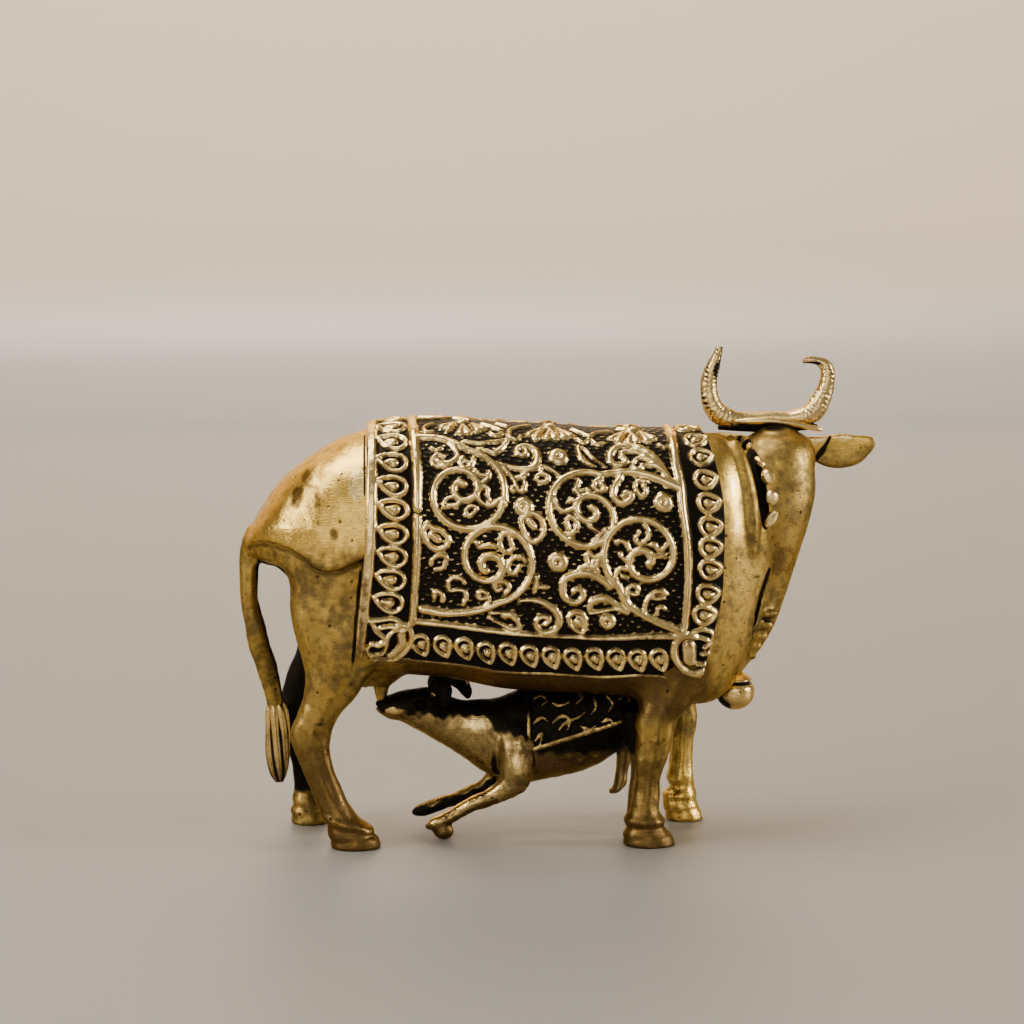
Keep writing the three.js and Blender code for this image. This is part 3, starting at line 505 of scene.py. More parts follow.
def swept(
    path: Array,
    side: Array,
    around: int,
    marks: Callable[[Array, Array], dict[str, Array]],
    profile: Callable[[Array, Array], tuple[Array, Array]] | None = None,
) -> Skin:
    """Ellipses carried along a path: middle + a cos(turn) across + b sin(turn) other.

    Args:
        path: x, y, z and the half thicknesses a and b, a row for each ring.
        side: Direction kept close by the first cross axis.
        around: Points in each ring.
        marks: Gives the finish's values from the share along and the turn.
        profile: Gives factors of a cos(turn) and b sin(turn) from the same two.

    Returns:
        The closed surface.
    """
    across, other = frames_along(path, side)
    turn = np.linspace(0, 2 * np.pi, around, endpoint=False)[None, :]
    steps = np.linalg.norm(np.diff(path[:, :3], axis=0), axis=1)
    share = np.concatenate([[0], np.cumsum(steps)])[:, None] / steps.sum()
    grown_a, grown_b = profile(share, turn) if profile else (1.0, 1.0)
    a = (path[:, 3:4] * np.cos(turn) * grown_a)[..., None]
    b = (path[:, 4:5] * np.sin(turn) * grown_b)[..., None]
    rings = path[:, None, :3] + a * across[:, None] + b * other[:, None]
    return closed_tube(rings, marks(share, turn))


def cut_distance(x: Array, r: Array, measure: Array, ends: Pair) -> Array:
    """Distance to a long form from its cuts square to x.

    In a cut the distance is r (1 - 1/q). It is divided by hypot(1, rise), the rise being how fast the
    cut's edge grows along x, and past the ends it is the distance to the end cut.

    Args:
        x: Places along the form, for broadcasting.
        r: Distance from the middle of the cut.
        measure: The cut's own measure q, one on its edge.
        ends: Where the form starts and stops.

    Returns:
        Signed distance at the places.
    """
    edge = r / np.maximum(measure, TINY)
    rise = np.gradient(edge, x.ravel(), axis=0)
    d = (r - edge) / np.hypot(1, np.clip(rise, -2, 2))
    beyond = np.maximum(np.maximum(ends[0] - x, x - ends[1]), 0)
    return np.where(beyond > 0, np.hypot(np.maximum(d, 0), beyond), d)


def level_shape(table: Array, slant: float = 1.0) -> Shape:
    """Distance to an upright form whose level cuts are ellipses from a table.

    At the height z the distance is r (1 - 1/q), with r the distance from the middle of the cut and q
    its elliptical measure; past the ends it is the distance to the end cut.

    Args:
        table: z, x, y, half length and half width, from the lowest row up.
        slant: Share of the distance that is kept, less than one where the form leans.

    Returns:
        The distance as a function of x, y and z.
    """

    def distance(x: Array, y: Array, z: Array) -> Array:
        """Signed distance at the places.

        Args:
            x, y, z: Places in millimetres.

        Returns:
            The distances, below nought inside.
        """
        cx, cy, a, b = table_at(table, z)
        q = np.maximum(np.hypot((x - cx) / a, (y - cy) / b), TINY)
        r = np.hypot(x - cx, y - cy)
        d = slant * r * (1 - 1 / q)
        beyond = np.maximum(np.maximum(table[0, 0] - z, z - table[-1, 0]), 0)
        return np.where(beyond > 0, np.hypot(np.maximum(d, 0), beyond), d)

    return distance


def path_shape(path: Array, side: Array) -> Shape:
    """Distance to a form that follows a path, the least of the distances to its short spans.

    A span's distance is r (1 - 1/q): r to the nearest point of its line, q measured with its half
    thicknesses across, and with the smaller of them past its ends.

    Args:
        path: x, y, z and two half thicknesses.
        side: Direction kept close by the first cross axis.

    Returns:
        The distance as a function of x, y and z.
    """

    def distance(x: Array, y: Array, z: Array) -> Array:
        """Signed distance at the places.

        Args:
            x, y, z: Places in millimetres.

        Returns:
            The distances, below nought inside.
        """
        x, y, z = np.broadcast_arrays(x, y, z)
        place = np.stack([x, y, z], -1).astype(np.float32)
        best = np.full(x.shape, FAR_AWAY, np.float32)
        for start, stop in zip(path[:-1], path[1:]):
            span = stop[:3] - start[:3]
            way = unit(span)
            across = unit(side - (way @ side) * way)
            other = np.cross(way, across)
            offset = place - start[:3].astype(np.float32)
            t = np.clip(offset @ span / (span @ span), 0, 1)
            offset = offset - t[..., None] * span
            a = start[3] + t * (stop[3] - start[3])
            b = start[4] + t * (stop[4] - start[4])
            r = np.linalg.norm(offset, axis=-1)
            u, w, e = offset @ across / a, offset @ other / b, offset @ way / np.minimum(a, b)
            q = np.maximum(np.sqrt(u * u + w * w + e * e), TINY)
            best = np.minimum(best, r * (1 - 1 / q))
        return best

    return distance


def ball_shape(middle: Triple, half: Triple) -> Shape:
    """Distance to an ellipsoid, r (1 - 1/q) as for the limbs.

    Args:
        middle: Its middle.
        half: Its three half sizes.

    Returns:
        The distance as a function of x, y and z.
    """

    def distance(x: Array, y: Array, z: Array) -> Array:
        """Signed distance at the places.

        Args:
            x, y, z: Places in millimetres.

        Returns:
            The distances, below nought inside.
        """
        u, v, w = x - middle[0], y - middle[1], z - middle[2]
        q = np.maximum(np.sqrt((u / half[0]) ** 2 + (v / half[1]) ** 2 + (w / half[2]) ** 2), TINY)
        return np.sqrt(u * u + v * v + w * w) * (1 - 1 / q)

    return distance


def planes(*stops: tuple[float, float, float]) -> Array:
    """Places of the sample planes on one axis.

    Args:
        stops: Start, stop and spacing of each stretch; a stretch starts where the last one stopped.

    Returns:
        The places, from the lowest up.
    """
    parts = [np.linspace(a, b, max(int(round((b - a) / step)), 1), endpoint=False) for a, b, step in stops]
    return np.concatenate(parts + [[stops[-1][1]]])


@dataclass
class WaxBlock:
    """Sample points that forms are melted into, like wax for a lost-wax casting.

    The group's bodies flow into each other without a seam, which no single grid of two parameters
    gives, so they are joined as distance fields and skinned. Inside is negative.

    Attributes:
        xs, ys, zs: Places of the sample planes.
        depth: Distance at each sample point.
    """

    xs: Array
    ys: Array
    zs: Array
    depth: Array = field(init=False)

    def __post_init__(self) -> None:
        """Starts with an empty block."""
        self.depth = np.full((len(self.xs), len(self.ys), len(self.zs)), FAR_AWAY, np.float32)

    def window(self, low: Array, high: Array) -> tuple[tuple[slice, ...], tuple[Array, Array, Array]]:
        """Part of the block between two corners: its slices and its three axes for broadcasting.

        Args:
            low, high: The corners.

        Returns:
            The slices and the axes.
        """
        axes = (self.xs, self.ys, self.zs)
        cut = tuple(
            slice(int(np.searchsorted(axis, lo)), int(np.searchsorted(axis, hi)))
            for axis, lo, hi in zip(axes, low, high)
        )
        x, y, z = (axis[c].astype(np.float32) for axis, c in zip(axes, cut))
        return cut, (x[:, None, None], y[None, :, None], z[None, None, :])

    def join(self, shape: Shape, low: Array, high: Array, blend: float) -> None:
        """Melts a form in: where two distances differ by less than blend, their least is rounded off.

        With s = 1/2 + (old - new) / (2 blend) held between 0 and 1, the result is
        old + (new - old) s - blend s (1 - s).

        Args:
            shape: Signed distance of the form.
            low, high: Corners of the box that it changes.
            blend: Reach of the rounding.
        """
        cut, (x, y, z) = self.window(low, high)
        old = self.depth[cut]
        new = shape(x, y, z)
        s = np.clip(0.5 + 0.5 * (old - new) / blend, 0, 1)
        self.depth[cut] = old + (new - old) * s - blend * s * (1 - s)

    def carve(self, shape: Shape, low: Array, high: Array, blend: float) -> None:
        """Cuts a form out, rounding the lip over the same way.

        Args:
            shape: Signed distance of the form.
            low, high: Corners of the box that it changes.
            blend: Reach of the rounding.
        """
        cut, (x, y, z) = self.window(low, high)
        old = self.depth[cut]
        new = -shape(x, y, z)
        s = np.clip(0.5 - 0.5 * (old - new) / blend, 0, 1)
        self.depth[cut] = old + (new - old) * s + blend * s * (1 - s)

    def press(self, low: Array, high: Array, amount: Shape) -> None:
        """Raises the surface between two corners by an amount in millimetres at each place."""
        cut, (x, y, z) = self.window(low, high)
        self.depth[cut] -= amount(x, y, z)

    def stand(self) -> None:
        """Cuts everything below the table flat."""
        self.depth = np.maximum(self.depth, -self.zs[None, None, :].astype(np.float32))

    def read(self, points: Array) -> Array:
        """Distance at any points, from the eight samples round each, weighted by nearness.

        Args:
            points: Places, one in each row.

        Returns:
            The distances.
        """
        total = np.zeros(len(points))
        index, share = [], []
        for axis, value in zip((self.xs, self.ys, self.zs), points.T):
            i = np.clip(np.searchsorted(axis, value) - 1, 0, len(axis) - 2)
            index.append(i)
            share.append(np.clip((value - axis[i]) / (axis[i + 1] - axis[i]), 0, 1))
        for corner in product((0, 1), repeat=3):
            weight = np.ones(len(points))
            for s, c in zip(share, corner):
                weight = weight * (s if c else 1 - s)
            total += weight * self.depth[index[0] + corner[0], index[1] + corner[1], index[2] + corner[2]]
        return total

    def slopes(self, points: Array, reach: float = 0.2) -> Array:
        """Direction in which the distance grows, from readings to either side on each axis."""
        moves = np.eye(3) * reach
        return np.stack([self.read(points + m) - self.read(points - m) for m in moves], -1) / (2 * reach)

    def hollows(self, points: Array, reaches: tuple[float, ...]) -> Array:
        """How deep in a recess each point lies, 0 to 1.

        Moving out by r from an open surface brings the distance to r, and less in a recess. This is the
        mean over the reaches of 1 - distance / r.

        Args:
            points: Places on the surface.
            reaches: Distances to look out, in millimetres.

        Returns:
            One value for each point.
        """
        slope = self.slopes(points)
        steep = np.maximum(np.linalg.norm(slope, axis=1), 0.2)
        out = slope / steep[:, None]
        parts = [np.clip(1 - self.read(points + r * out) / (r * steep), 0, 1) for r in reaches]
        return np.mean(parts, axis=0)

    def skin(self, rounds: int = 4) -> Skin:
        """Closed surface where the distance is nought.

        Each cell that the surface crosses gets one point, the mean of the places where its edges cross
        nought, and each crossed sample line gets a quad between the four cells round it. The points are
        then smoothed by turns towards and away from their neighbours' mean.

        Args:
            rounds: Times that the points are smoothed.

        Returns:
            The surface.
        """
        d = self.depth
        inside = d < 0
        count = np.zeros(tuple(n - 1 for n in d.shape), np.int8)
        for a, b, c in product((0, 1), repeat=3):
            count += inside[a : a + count.shape[0], b : b + count.shape[1], c : c + count.shape[2]]
        cells = np.argwhere((count > 0) & (count < 8))
        number = np.full(count.shape, -1, np.int64)
        number[tuple(cells.T)] = np.arange(len(cells))
        corners = np.array(list(product((0, 1), repeat=3)))
        where = cells[:, None] + corners
        values = d[where[..., 0], where[..., 1], where[..., 2]]
        places = np.stack([self.xs[where[..., 0]], self.ys[where[..., 1]], self.zs[where[..., 2]]], -1)
        total = np.zeros((len(cells), 3))
        hits = np.zeros(len(cells))
        for m, n in product(range(8), repeat=2):
            if m < n and np.abs(corners[m] - corners[n]).sum() == 1:
                crossed = (values[:, m] < 0) != (values[:, n] < 0)
                t = np.where(crossed, values[:, m] / np.where(crossed, values[:, m] - values[:, n], 1), 0)
                total += crossed[:, None] * (places[:, m] + t[:, None] * (places[:, n] - places[:, m]))
                hits += crossed
        points = total / hits[:, None]
        quads = []
        for axis in range(3):
            one = np.take(inside, range(d.shape[axis] - 1), axis)
            two = np.take(inside, range(1, d.shape[axis]), axis)
            at = np.argwhere(one != two)
            u, v = (axis + 1) % 3, (axis + 2) % 3
            for way in (u, v):
                at = at[(at[:, way] > 0) & (at[:, way] < d.shape[way] - 1)]
            steps = np.zeros((4, 3), int)
            steps[:, u] = (-1, 0, 0, -1)
            steps[:, v] = (-1, -1, 0, 0)
            around = at[:, None] + steps
            face = number[around[..., 0], around[..., 1], around[..., 2]]
            out = one[tuple(at.T)]
            quads.append(np.where(out[:, None], face, face[:, ::-1]))
        skin = Skin(points, np.vstack(quads))
        skin.points = relaxed(points, skin.quads, rounds)
        skin.points[:, 2] = np.maximum(skin.points[:, 2], 0)
        return skin.outward()


def relaxed(points: Array, quads: Array, rounds: int) -> Array:
    """Points moved half way to their neighbours' mean, then a little further back, by turns.

    Args:
        points: Points of the surface.
        quads: Its faces.
        rounds: Times that it is done.

    Returns:
        The moved points.
    """
    a, b = quads.ravel(), np.roll(quads, -1, axis=1).ravel()
    n = len(points)
    near = np.bincount(a, minlength=n) + np.bincount(b, minlength=n)
    for _ in range(rounds):
        for factor in (0.5, -0.52):
            total = [np.bincount(a, points[b, c], n) + np.bincount(b, points[a, c], n) for c in range(3)]
            points = points + factor * (np.stack(total, -1) / near[:, None] - points)
    return points


def lump(points: Array, middle: Triple, size: Triple) -> Array:
    """A soft spot at the points: exp(-r^2), r measured from the middle with a size on each axis."""
    return np.exp(-(((points - np.array(middle)) / np.array(size)) ** 2).sum(1))


def spots(points: Array, table: tuple[Spot, ...]) -> Array:
    """Sum of soft spots at the points, each a strength, a middle and its sizes."""
    return sum(strength * lump(points, middle, size) for strength, middle, size in table)


@dataclass(frozen=True)
class Barrel:
    """The cow's barrel: cuts square to x are superellipses, rounder above their widest line.

    Attributes:
        rows: x, top, belly, height of the widest line, half width.
        back_power: Power of the cut above the widest line.
        side_power: Power below it.
    """

    rows: Array
    back_power: float = 2.3
    side_power: float = 3.2

    def point(self, x: Array, angle: Array, lift: Array | float) -> Array:
        """Point at x and an angle from the spine down the right side, held off by a lift.

        Args:
            x: Places along the barrel.
            angle: Angles in radians.
            lift: Distance outside the barrel.

        Returns:
            The points.
        """
        top, belly, widest, half = table_at(self.rows, x)
        s, c = np.sin(angle), np.cos(angle)
        power = 2 / np.where(c > 0, self.back_power, self.side_power)
        reach = np.where(c > 0, top - widest, widest - belly) + lift
        y = -(half + lift) * np.sign(s) * np.abs(s) ** power
        z = widest + reach * np.sign(c) * np.abs(c) ** power
        return np.stack(np.broadcast_arrays(x, y, z), -1)

    def distance(self, x: Array, y: Array, z: Array) -> Array:
        """Signed distance from the cuts square to x.

        Args:
            x, y, z: Places, for broadcasting.

        Returns:
            The distance at the places.
        """
        top, belly, widest, half = table_at(self.rows, x)
        above = z > widest
        power = np.where(above, self.back_power, self.side_power).astype(np.float32)
        reach = np.where(above, top - widest, widest - belly)
        measure = ((np.abs(y) / half) ** power + (np.abs(z - widest) / reach) ** power) ** (1 / power)
        return cut_distance(x, np.hypot(y, z - widest), measure, (self.rows[0, 0], self.rows[-1, 0]))


class Flank:
    """Places on the saddle cloth: x along the cow, and v the depth down the flank from the spine."""

    def __init__(self, barrel: Barrel, lift: float) -> None:
        """Measures the way down the flank on the barrel held off by the cloth's thickness.

        The angles lie closest at the widest line, where the cut runs fastest with the angle.

        Args:
            barrel: Barrel under the cloth.
            lift: Thickness of the cloth.
        """
        self.barrel = barrel
        self.xs = np.linspace(-27, 23, 101)
        steps = np.linspace(-1, 0.93, 341)
        self.angles = math.pi / 2 * (1 + np.sign(steps) * np.abs(steps) ** 1.6)
        line = barrel.point(self.xs[:, None], self.angles[None], lift)
        run = np.linalg.norm(np.diff(line, axis=1), axis=2)
        self.depths = np.concatenate([np.zeros((len(self.xs), 1)), np.cumsum(run, axis=1)], axis=1)

    def angle(self, x: Array, v: Array) -> Array:
        """Angle round the barrel at a depth, between the measured lines to either side of x.

        Args:
            x: Places along the barrel.
            v: Depths down the flank.

        Returns:
            The angles in radians.
        """
        column = np.clip((x - self.xs[0]) / (self.xs[1] - self.xs[0]), 0, len(self.xs) - 1.001)
        i = column.astype(int)
        share = column - i
        found = []
        for near in (i, i + 1):
            rows = self.depths[near]
            j = np.clip((rows < v[..., None]).sum(-1) - 1, 0, len(self.angles) - 2)
            low = np.take_along_axis(rows, j[..., None], -1)[..., 0]
            high = np.take_along_axis(rows, j[..., None] + 1, -1)[..., 0]
            found.append(self.angles[j] + (self.angles[j + 1] - self.angles[j]) * (v - low) / (high - low))
        return found[0] * (1 - share) + found[1] * share

    def depth(self, points: Array) -> Array:
        """Depth down the flank of points that lie near the barrel.

        Args:
            points: Points, one in each row.

        Returns:
            The depths.
        """
        x, y, z = points.T
        top, belly, widest, half = table_at(self.barrel.rows, x)
        above = z > widest
        power = np.where(above, self.barrel.back_power, self.barrel.side_power)
        reach = np.where(above, top - widest, widest - belly)
        c = np.clip(np.abs(z - widest) / reach, 0, 1) ** (power / 2)
        s = np.clip(np.abs(y) / half, 0, 1) ** (power / 2)
        angle = np.arctan2(s, np.where(above, c, -c))
        column = np.clip((x - self.xs[0]) / (self.xs[1] - self.xs[0]), 0, len(self.xs) - 1).astype(int)
        row = np.clip(np.searchsorted(self.angles, angle), 0, len(self.angles) - 1)
        return self.depths[column, row]


BARREL = Barrel(TORSO)
FLANK = Flank(BARREL, 0.55)
class NodeSheet:
    """Builds the node tree of one material."""

    def __init__(self, name: str) -> None:
        """Starts an empty tree.

        Args:
            name: Name of the material.
        """
        self.material = bpy.data.materials.new(name)
        self.material.use_nodes = True
        self.tree = self.material.node_tree
        self.tree.nodes.clear()

    def add(self, kind: str, inputs: dict | None = None, **settings: object) -> bpy.types.Node:
        """Adds a node.

        Args:
            kind: Blender's name of the node type, without ShaderNode.
            inputs: Value or output socket for each input, by name or number.
            settings: Properties of the node.

        Returns:
            The node.
        """
        node = self.tree.nodes.new("ShaderNode" + kind)
        for name, value in settings.items():
            setattr(node, name, value)
        for name, value in (inputs or {}).items():
            if isinstance(value, Socket):
                self.tree.links.new(value, node.inputs[name])
            else:
                node.inputs[name].default_value = value
        return node

    def maths(self, operation: str, a: object, b: object) -> Socket:
        """Output of a Math node on two values or sockets."""
        return self.add("Math", {0: a, 1: b}, operation=operation).outputs[0]

    def plus(self, a: object, b: object, factor: float = 1.0) -> Socket:
        """Output of a + factor b."""
        return self.maths("ADD", a, b if factor == 1.0 else self.maths("MULTIPLY", b, factor))

    def centred(self, value: object) -> Socket:
        """Cloudy values less one half, so that they rise and fall about nought."""
        return self.maths("SUBTRACT", value, 0.5)

    def ramp(self, value: object, low: float, high: float, to_low: float = 0, to_high: float = 1) -> Socket:
        """Value carried smoothly from the range low..high to another."""
        inputs = {"Value": value, "From Min": low, "From Max": high, "To Min": to_low, "To Max": to_high}
        return self.add("MapRange", inputs, interpolation_type="SMOOTHSTEP").outputs["Result"]

    def blend(self, share: object, a: object, b: object) -> Socket:
        """Mix of two colours, each a socket or three numbers."""
        first, second = ((*c, 1.0) if isinstance(c, tuple) else c for c in (a, b))
        return self.add("Mix", {0: share, 6: first, 7: second}, data_type="RGBA").outputs[2]

    def mark(self, name: str) -> Socket:
        """Values that the piece carries at its points under a name."""
        return self.add("Attribute", attribute_name=name, attribute_type="GEOMETRY").outputs["Fac"]

    def noise(self, place: object, scale: float, detail: float, rough: float = 0.5) -> Socket:
        """Cloudy values with a number of lumps a millimetre."""
        inputs = {"Vector": place, "Scale": scale, "Detail": detail, "Roughness": rough}
        return self.add("TexNoise", inputs).outputs["Fac"]

    def finish(self, inputs: dict) -> bpy.types.Material:
        """The material, its surface a Principled shader with these inputs.

        Args:
            inputs: Sockets and their values.

        Returns:
            The finished material.
        """
        shader = self.add("BsdfPrincipled", inputs)
        self.add("OutputMaterial", {"Surface": shader.outputs[0]})
        return self.material


@dataclass(frozen=True)
class AntiquedBrass:
    """Cast brass, blackened all over and rubbed back to bright metal on its high places, with painted shade
    and painted highlights.

    Attributes:
        name: Name of the material.
        gleam_and_highlight: Metal rubbed bare on the highest facets, and painted highlights.
        bright: Rubbed metal, and painted light where the polish mark is high.
        dull: Metal that has darkened a little in the air, and painted shade where the polish mark is low.
        brown: Stains, and painted shade.
        copper: Reddish tarnish.
        black: Blackening left in the ground, and painted shade.
        shine: Roughness of rubbed metal.
        matt: Roughness of dull metal.
        black_from, black_to: Depth in a recess, plus painted shade, at which the blackening starts, and is
            whole.
        dull_share: How much of the open surface is dull.
        grain: Height of the casting's grain, mm.
        pits: How many of the casting's small pits show, 0 to 1.
    """

    name: str
    gleam_and_highlight: Colour = (1.0, 0.73, 0.27)
    bright: Colour = (0.79, 0.50, 0.10)
    dull: Colour = (0.175, 0.118, 0.040)
    brown: Colour = (0.10, 0.055, 0.02)
    copper: Colour = (0.30, 0.145, 0.075)
    black: Colour = (0.004, 0.003, 0.002)
    shine: float = 0.24
    matt: float = 0.46
    black_from: float = 0.3
    black_to: float = 0.75
    dull_share: float = 0.5
    grain: float = 0.065
    pits: float = 0.75

    def material(self) -> bpy.types.Material:
        """The finish as a material, made the first time it is asked for.

        Returns:
            The material.
        """
        if made := bpy.data.materials.get(self.name):
            return made
        sheet = NodeSheet(self.name)
        place = sheet.add("TexCoord").outputs["Object"]
        mm = sheet.add("Mapping", {"Vector": place, "Scale": (1 / MM,) * 3}).outputs[0]
        clouds = sheet.noise(mm, 0.16, 4, 0.55)
        mottle = sheet.noise(mm, 0.85, 6, 0.62)
        grain = sheet.noise(mm, 5.0, 5, 0.6)
        uneven = sheet.maths("SUBTRACT", sheet.plus(mottle, clouds), 1.0)
        pit = self.pit(sheet, mm)

        # Black from the hollow mark: patina in recesses, and painted shade.
        black = sheet.ramp(sheet.plus(sheet.mark("hollow"), uneven, 0.35), self.black_from, self.black_to)
        black = sheet.maths("MAXIMUM", black, sheet.maths("MULTIPLY", pit, 0.8))
        # Bright against dull metal: rubbing, and painted light and shade carried by the polish mark.
        rubbed = sheet.plus(sheet.maths("MULTIPLY", clouds, 1.1), mottle, 1.3)
        rubbed = sheet.plus(sheet.maths("SUBTRACT", rubbed, 0.7), sheet.mark("polish"))
        rubbed = sheet.ramp(rubbed, self.dull_share - 0.3, self.dull_share + 0.5)
        # Brown from the stain mark: stains, and painted shade.
        stain = sheet.ramp(sheet.plus(sheet.mark("stain"), uneven, 1.5), 0.28, 0.75, 0, 0.85)
        copper = sheet.ramp(sheet.plus(sheet.mark("copper"), uneven, 0.5), 0.25, 0.7, 0, 0.9)
        # Gleam where the polish mark peaks: metal rubbed bare, and painted highlights.
        bare = sheet.ramp(sheet.plus(sheet.mark("polish"), uneven, 0.8), 0.8, 1.0)

        colour = sheet.blend(rubbed, self.dull, self.bright)
        over = ((bare, self.gleam_and_highlight), (copper, self.copper), (stain, self.brown), (black, self.black))
        for share, tone in over:
            colour = sheet.blend(share, colour, tone)
        rough = sheet.plus(sheet.ramp(rubbed, 0, 1, self.matt, self.shine), sheet.centred(grain), 0.18)
        return sheet.finish({
            "Base Color": colour,
            "Metallic": sheet.ramp(black, 0, 1, 1.0, 0.05),
            "Roughness": sheet.plus(rough, black, 0.2),
            "Specular IOR Level": 0.12,
            "Specular Tint": (0.95, 0.8, 0.5, 1.0),
            "Normal": self.surface(sheet, mm, grain, mottle, pit),
        })

    def pit(self, sheet: NodeSheet, mm: Socket) -> Socket:
        """Small round pits, one in some of the cells of a Voronoi pattern, each with its own size.

        Args:
            sheet: The material's nodes.
            mm: Places in millimetres.

        Returns:
            One inside a pit and nought outside.
        """
        cells = sheet.add("TexVoronoi", {"Vector": mm, "Scale": 0.7, "Randomness": 1.0})
        picked = sheet.add("SeparateColor", {0: cells.outputs["Color"]}).outputs[0]
        size = sheet.maths("MULTIPLY", sheet.ramp(picked, 1 - self.pits, 1), 0.17)
        return sheet.ramp(sheet.maths("SUBTRACT", size, cells.outputs["Distance"]), -0.03, 0.03)

    def surface(self, sheet: NodeSheet, mm: Socket, *forms: Socket) -> Socket:
        """Fine unevenness of the cast metal: grain, file strokes, mottling and pits.

        Args:
            sheet: The material's nodes.
            mm: Places in millimetres.
            forms: Grain, mottling and pits.

        Returns:
            The bumped normal.
        """
        grain, mottle, pit = forms
        brushed = sheet.add("Mapping", {"Vector": mm, "Scale": (0.8, 3.0, 9.0), "Rotation": (0.5, 0.35, 0.4)})
        strokes = sheet.noise(brushed.outputs[0], 1.0, 3)
        height = sheet.maths("MULTIPLY", sheet.centred(grain), 0.5)
        for form, share in ((sheet.centred(strokes), 0.7), (pit, -1.2), (mottle, 1.1)):
            height = sheet.plus(height, form, share)
        return sheet.add("Bump", {"Height": height, "Strength": 0.8, "Distance": self.grain * MM}).outputs[0]


HIDE_BRASS = AntiquedBrass("cow_brass")
CLOTH_BRASS = AntiquedBrass(
    "cloth_brass", bright=(0.95, 0.69, 0.26), dull=(0.50, 0.345, 0.13), shine=0.2, matt=0.34,
    black_from=0.36, black_to=0.64, dull_share=0.4, grain=0.03, pits=0.15,
)
CALF_BRASS = AntiquedBrass(
    "calf_brass", bright=(0.84, 0.58, 0.20), shine=0.15, matt=0.36, black_to=0.66, grain=0.06
)
HORN_BRASS = AntiquedBrass(
    "horn_brass", bright=(0.80, 0.57, 0.22), dull=(0.23, 0.15, 0.055), shine=0.2, matt=0.36, black_from=0.35,
    black_to=0.8, dull_share=0.45, grain=0.06, pits=0.9,
)

# Places on the cow's hide: strength, middle and size on each axis.
STAINS = (
    (0.8, (-31, -7.5, 46.5), (0.7, 3, 1.6)), (0.8, (-32.2, -8, 43.9), (0.7, 3, 1.5)),
    (0.6, (-29.6, -8.6, 43.6), (0.7, 3, 2)), (0.9, (-27.6, -10.6, 39.8), (0.55, 1.5, 0.7)),
    (0.9, (-23.6, -9.8, 41.9), (0.55, 2, 0.5)), (0.7, (26.2, -3.6, 48), (0.9, 2.5, 0.8)),
    (0.6, (29.5, -3.6, 44.6), (1.4, 2.5, 0.9)), (0.5, (29.6, -4, 41), (1.2, 2.5, 1.6)),
    (0.45, (27.6, -4, 35), (1, 2.5, 1.8)),
)
COPPER_BLUSH = ((0.5, (-24.5, -10.9, 37.0), (2.4, 1.5, 0.5)),)
# Painted highlights: the hot spot on the rump and the white glints on the shoulder and neck.
PAINTED_HIGHLIGHTS = (
    (1.25, (-24.7, -8.6, 45.4), (1.5, 3, 2.3)), (1.3, (21.5, -7.5, 44.9), (0.75, 3.5, 2.2)),
    (1.3, (21.8, -7.5, 39.9), (0.65, 3.5, 1.6)), (0.5, (27.3, -4, 47.3), (0.35, 2.5, 0.5)),
)
NECK_SOOT = ((0.9, (26.4, 0.0, 51.2), (5.0, 4.0, 0.55)), (0.6, (25.6, -4.6, 36.2), (0.6, 1.5, 0.7)))
NICKS = (
    (0.7, (26.1, -3.6, 49.2), (0.75, 2, 0.6)), (0.5, (28.6, -4.2, 49.4), (1.3, 2, 0.22)),
    (0.6, (30.4, -3.4, 44.8), (0.9, 2.5, 0.28)), (0.6, (30, -3.4, 43.8), (0.7, 2.5, 0.2)),
    (0.9, (29, -4.6, 41.3), (0.16, 1.5, 0.9)), (0.5, (27.6, -4.8, 38.6), (0.5, 1.5, 0.3)),
    (0.7, (31.4, -2.6, 48), (0.3, 2.5, 1.3)), (0.6, (24.6, -5, 33.4), (0.9, 1.5, 0.35)),
    (0.5, (13.6, -9.2, 12.6), (0.3, 1.6, 1.6)), (0.6, (12.2, -9.2, 14.2), (0.22, 1.6, 2.4)),
    (0.3, (13.2, -9.3, 17.4), (0.4, 1.6, 1.6)), (0.6, (-29.6, -9.3, 15.9), (0.9, 1.6, 0.35)),
    (0.5, (-30.4, -9.2, 14.9), (0.3, 1.6, 0.8)), (0.5, (-28.8, -9.2, 14.7), (0.3, 1.6, 0.7)),
)
FACE_SOOT = (
    (0.5, (24.2, 6.7, 47), (0.7, 1.4, 0.7)), (0.5, (32.2, 6.7, 47), (0.7, 1.4, 0.7)),
    (0.5, (28.5, 13.6, 40.7), (3, 2, 0.3)), (0.4, (28.2, 5.2, 49.9), (1.6, 1.2, 0.5)),
)

# Edge of the lip where the rump ends over the thigh: x, z.
HIP_LINE = np.array([
    [-39.5, 36.6], [-37.8, 37.9], [-36.5, 38.5], [-34.9, 38.4], [-33, 37.9], [-31.2, 36.9], [-30.2, 35.7],
    [-28.8, 35.2], [-27.4, 35.3], [-25.7, 36], [-23.9, 36.8], [-22, 37.3],
])


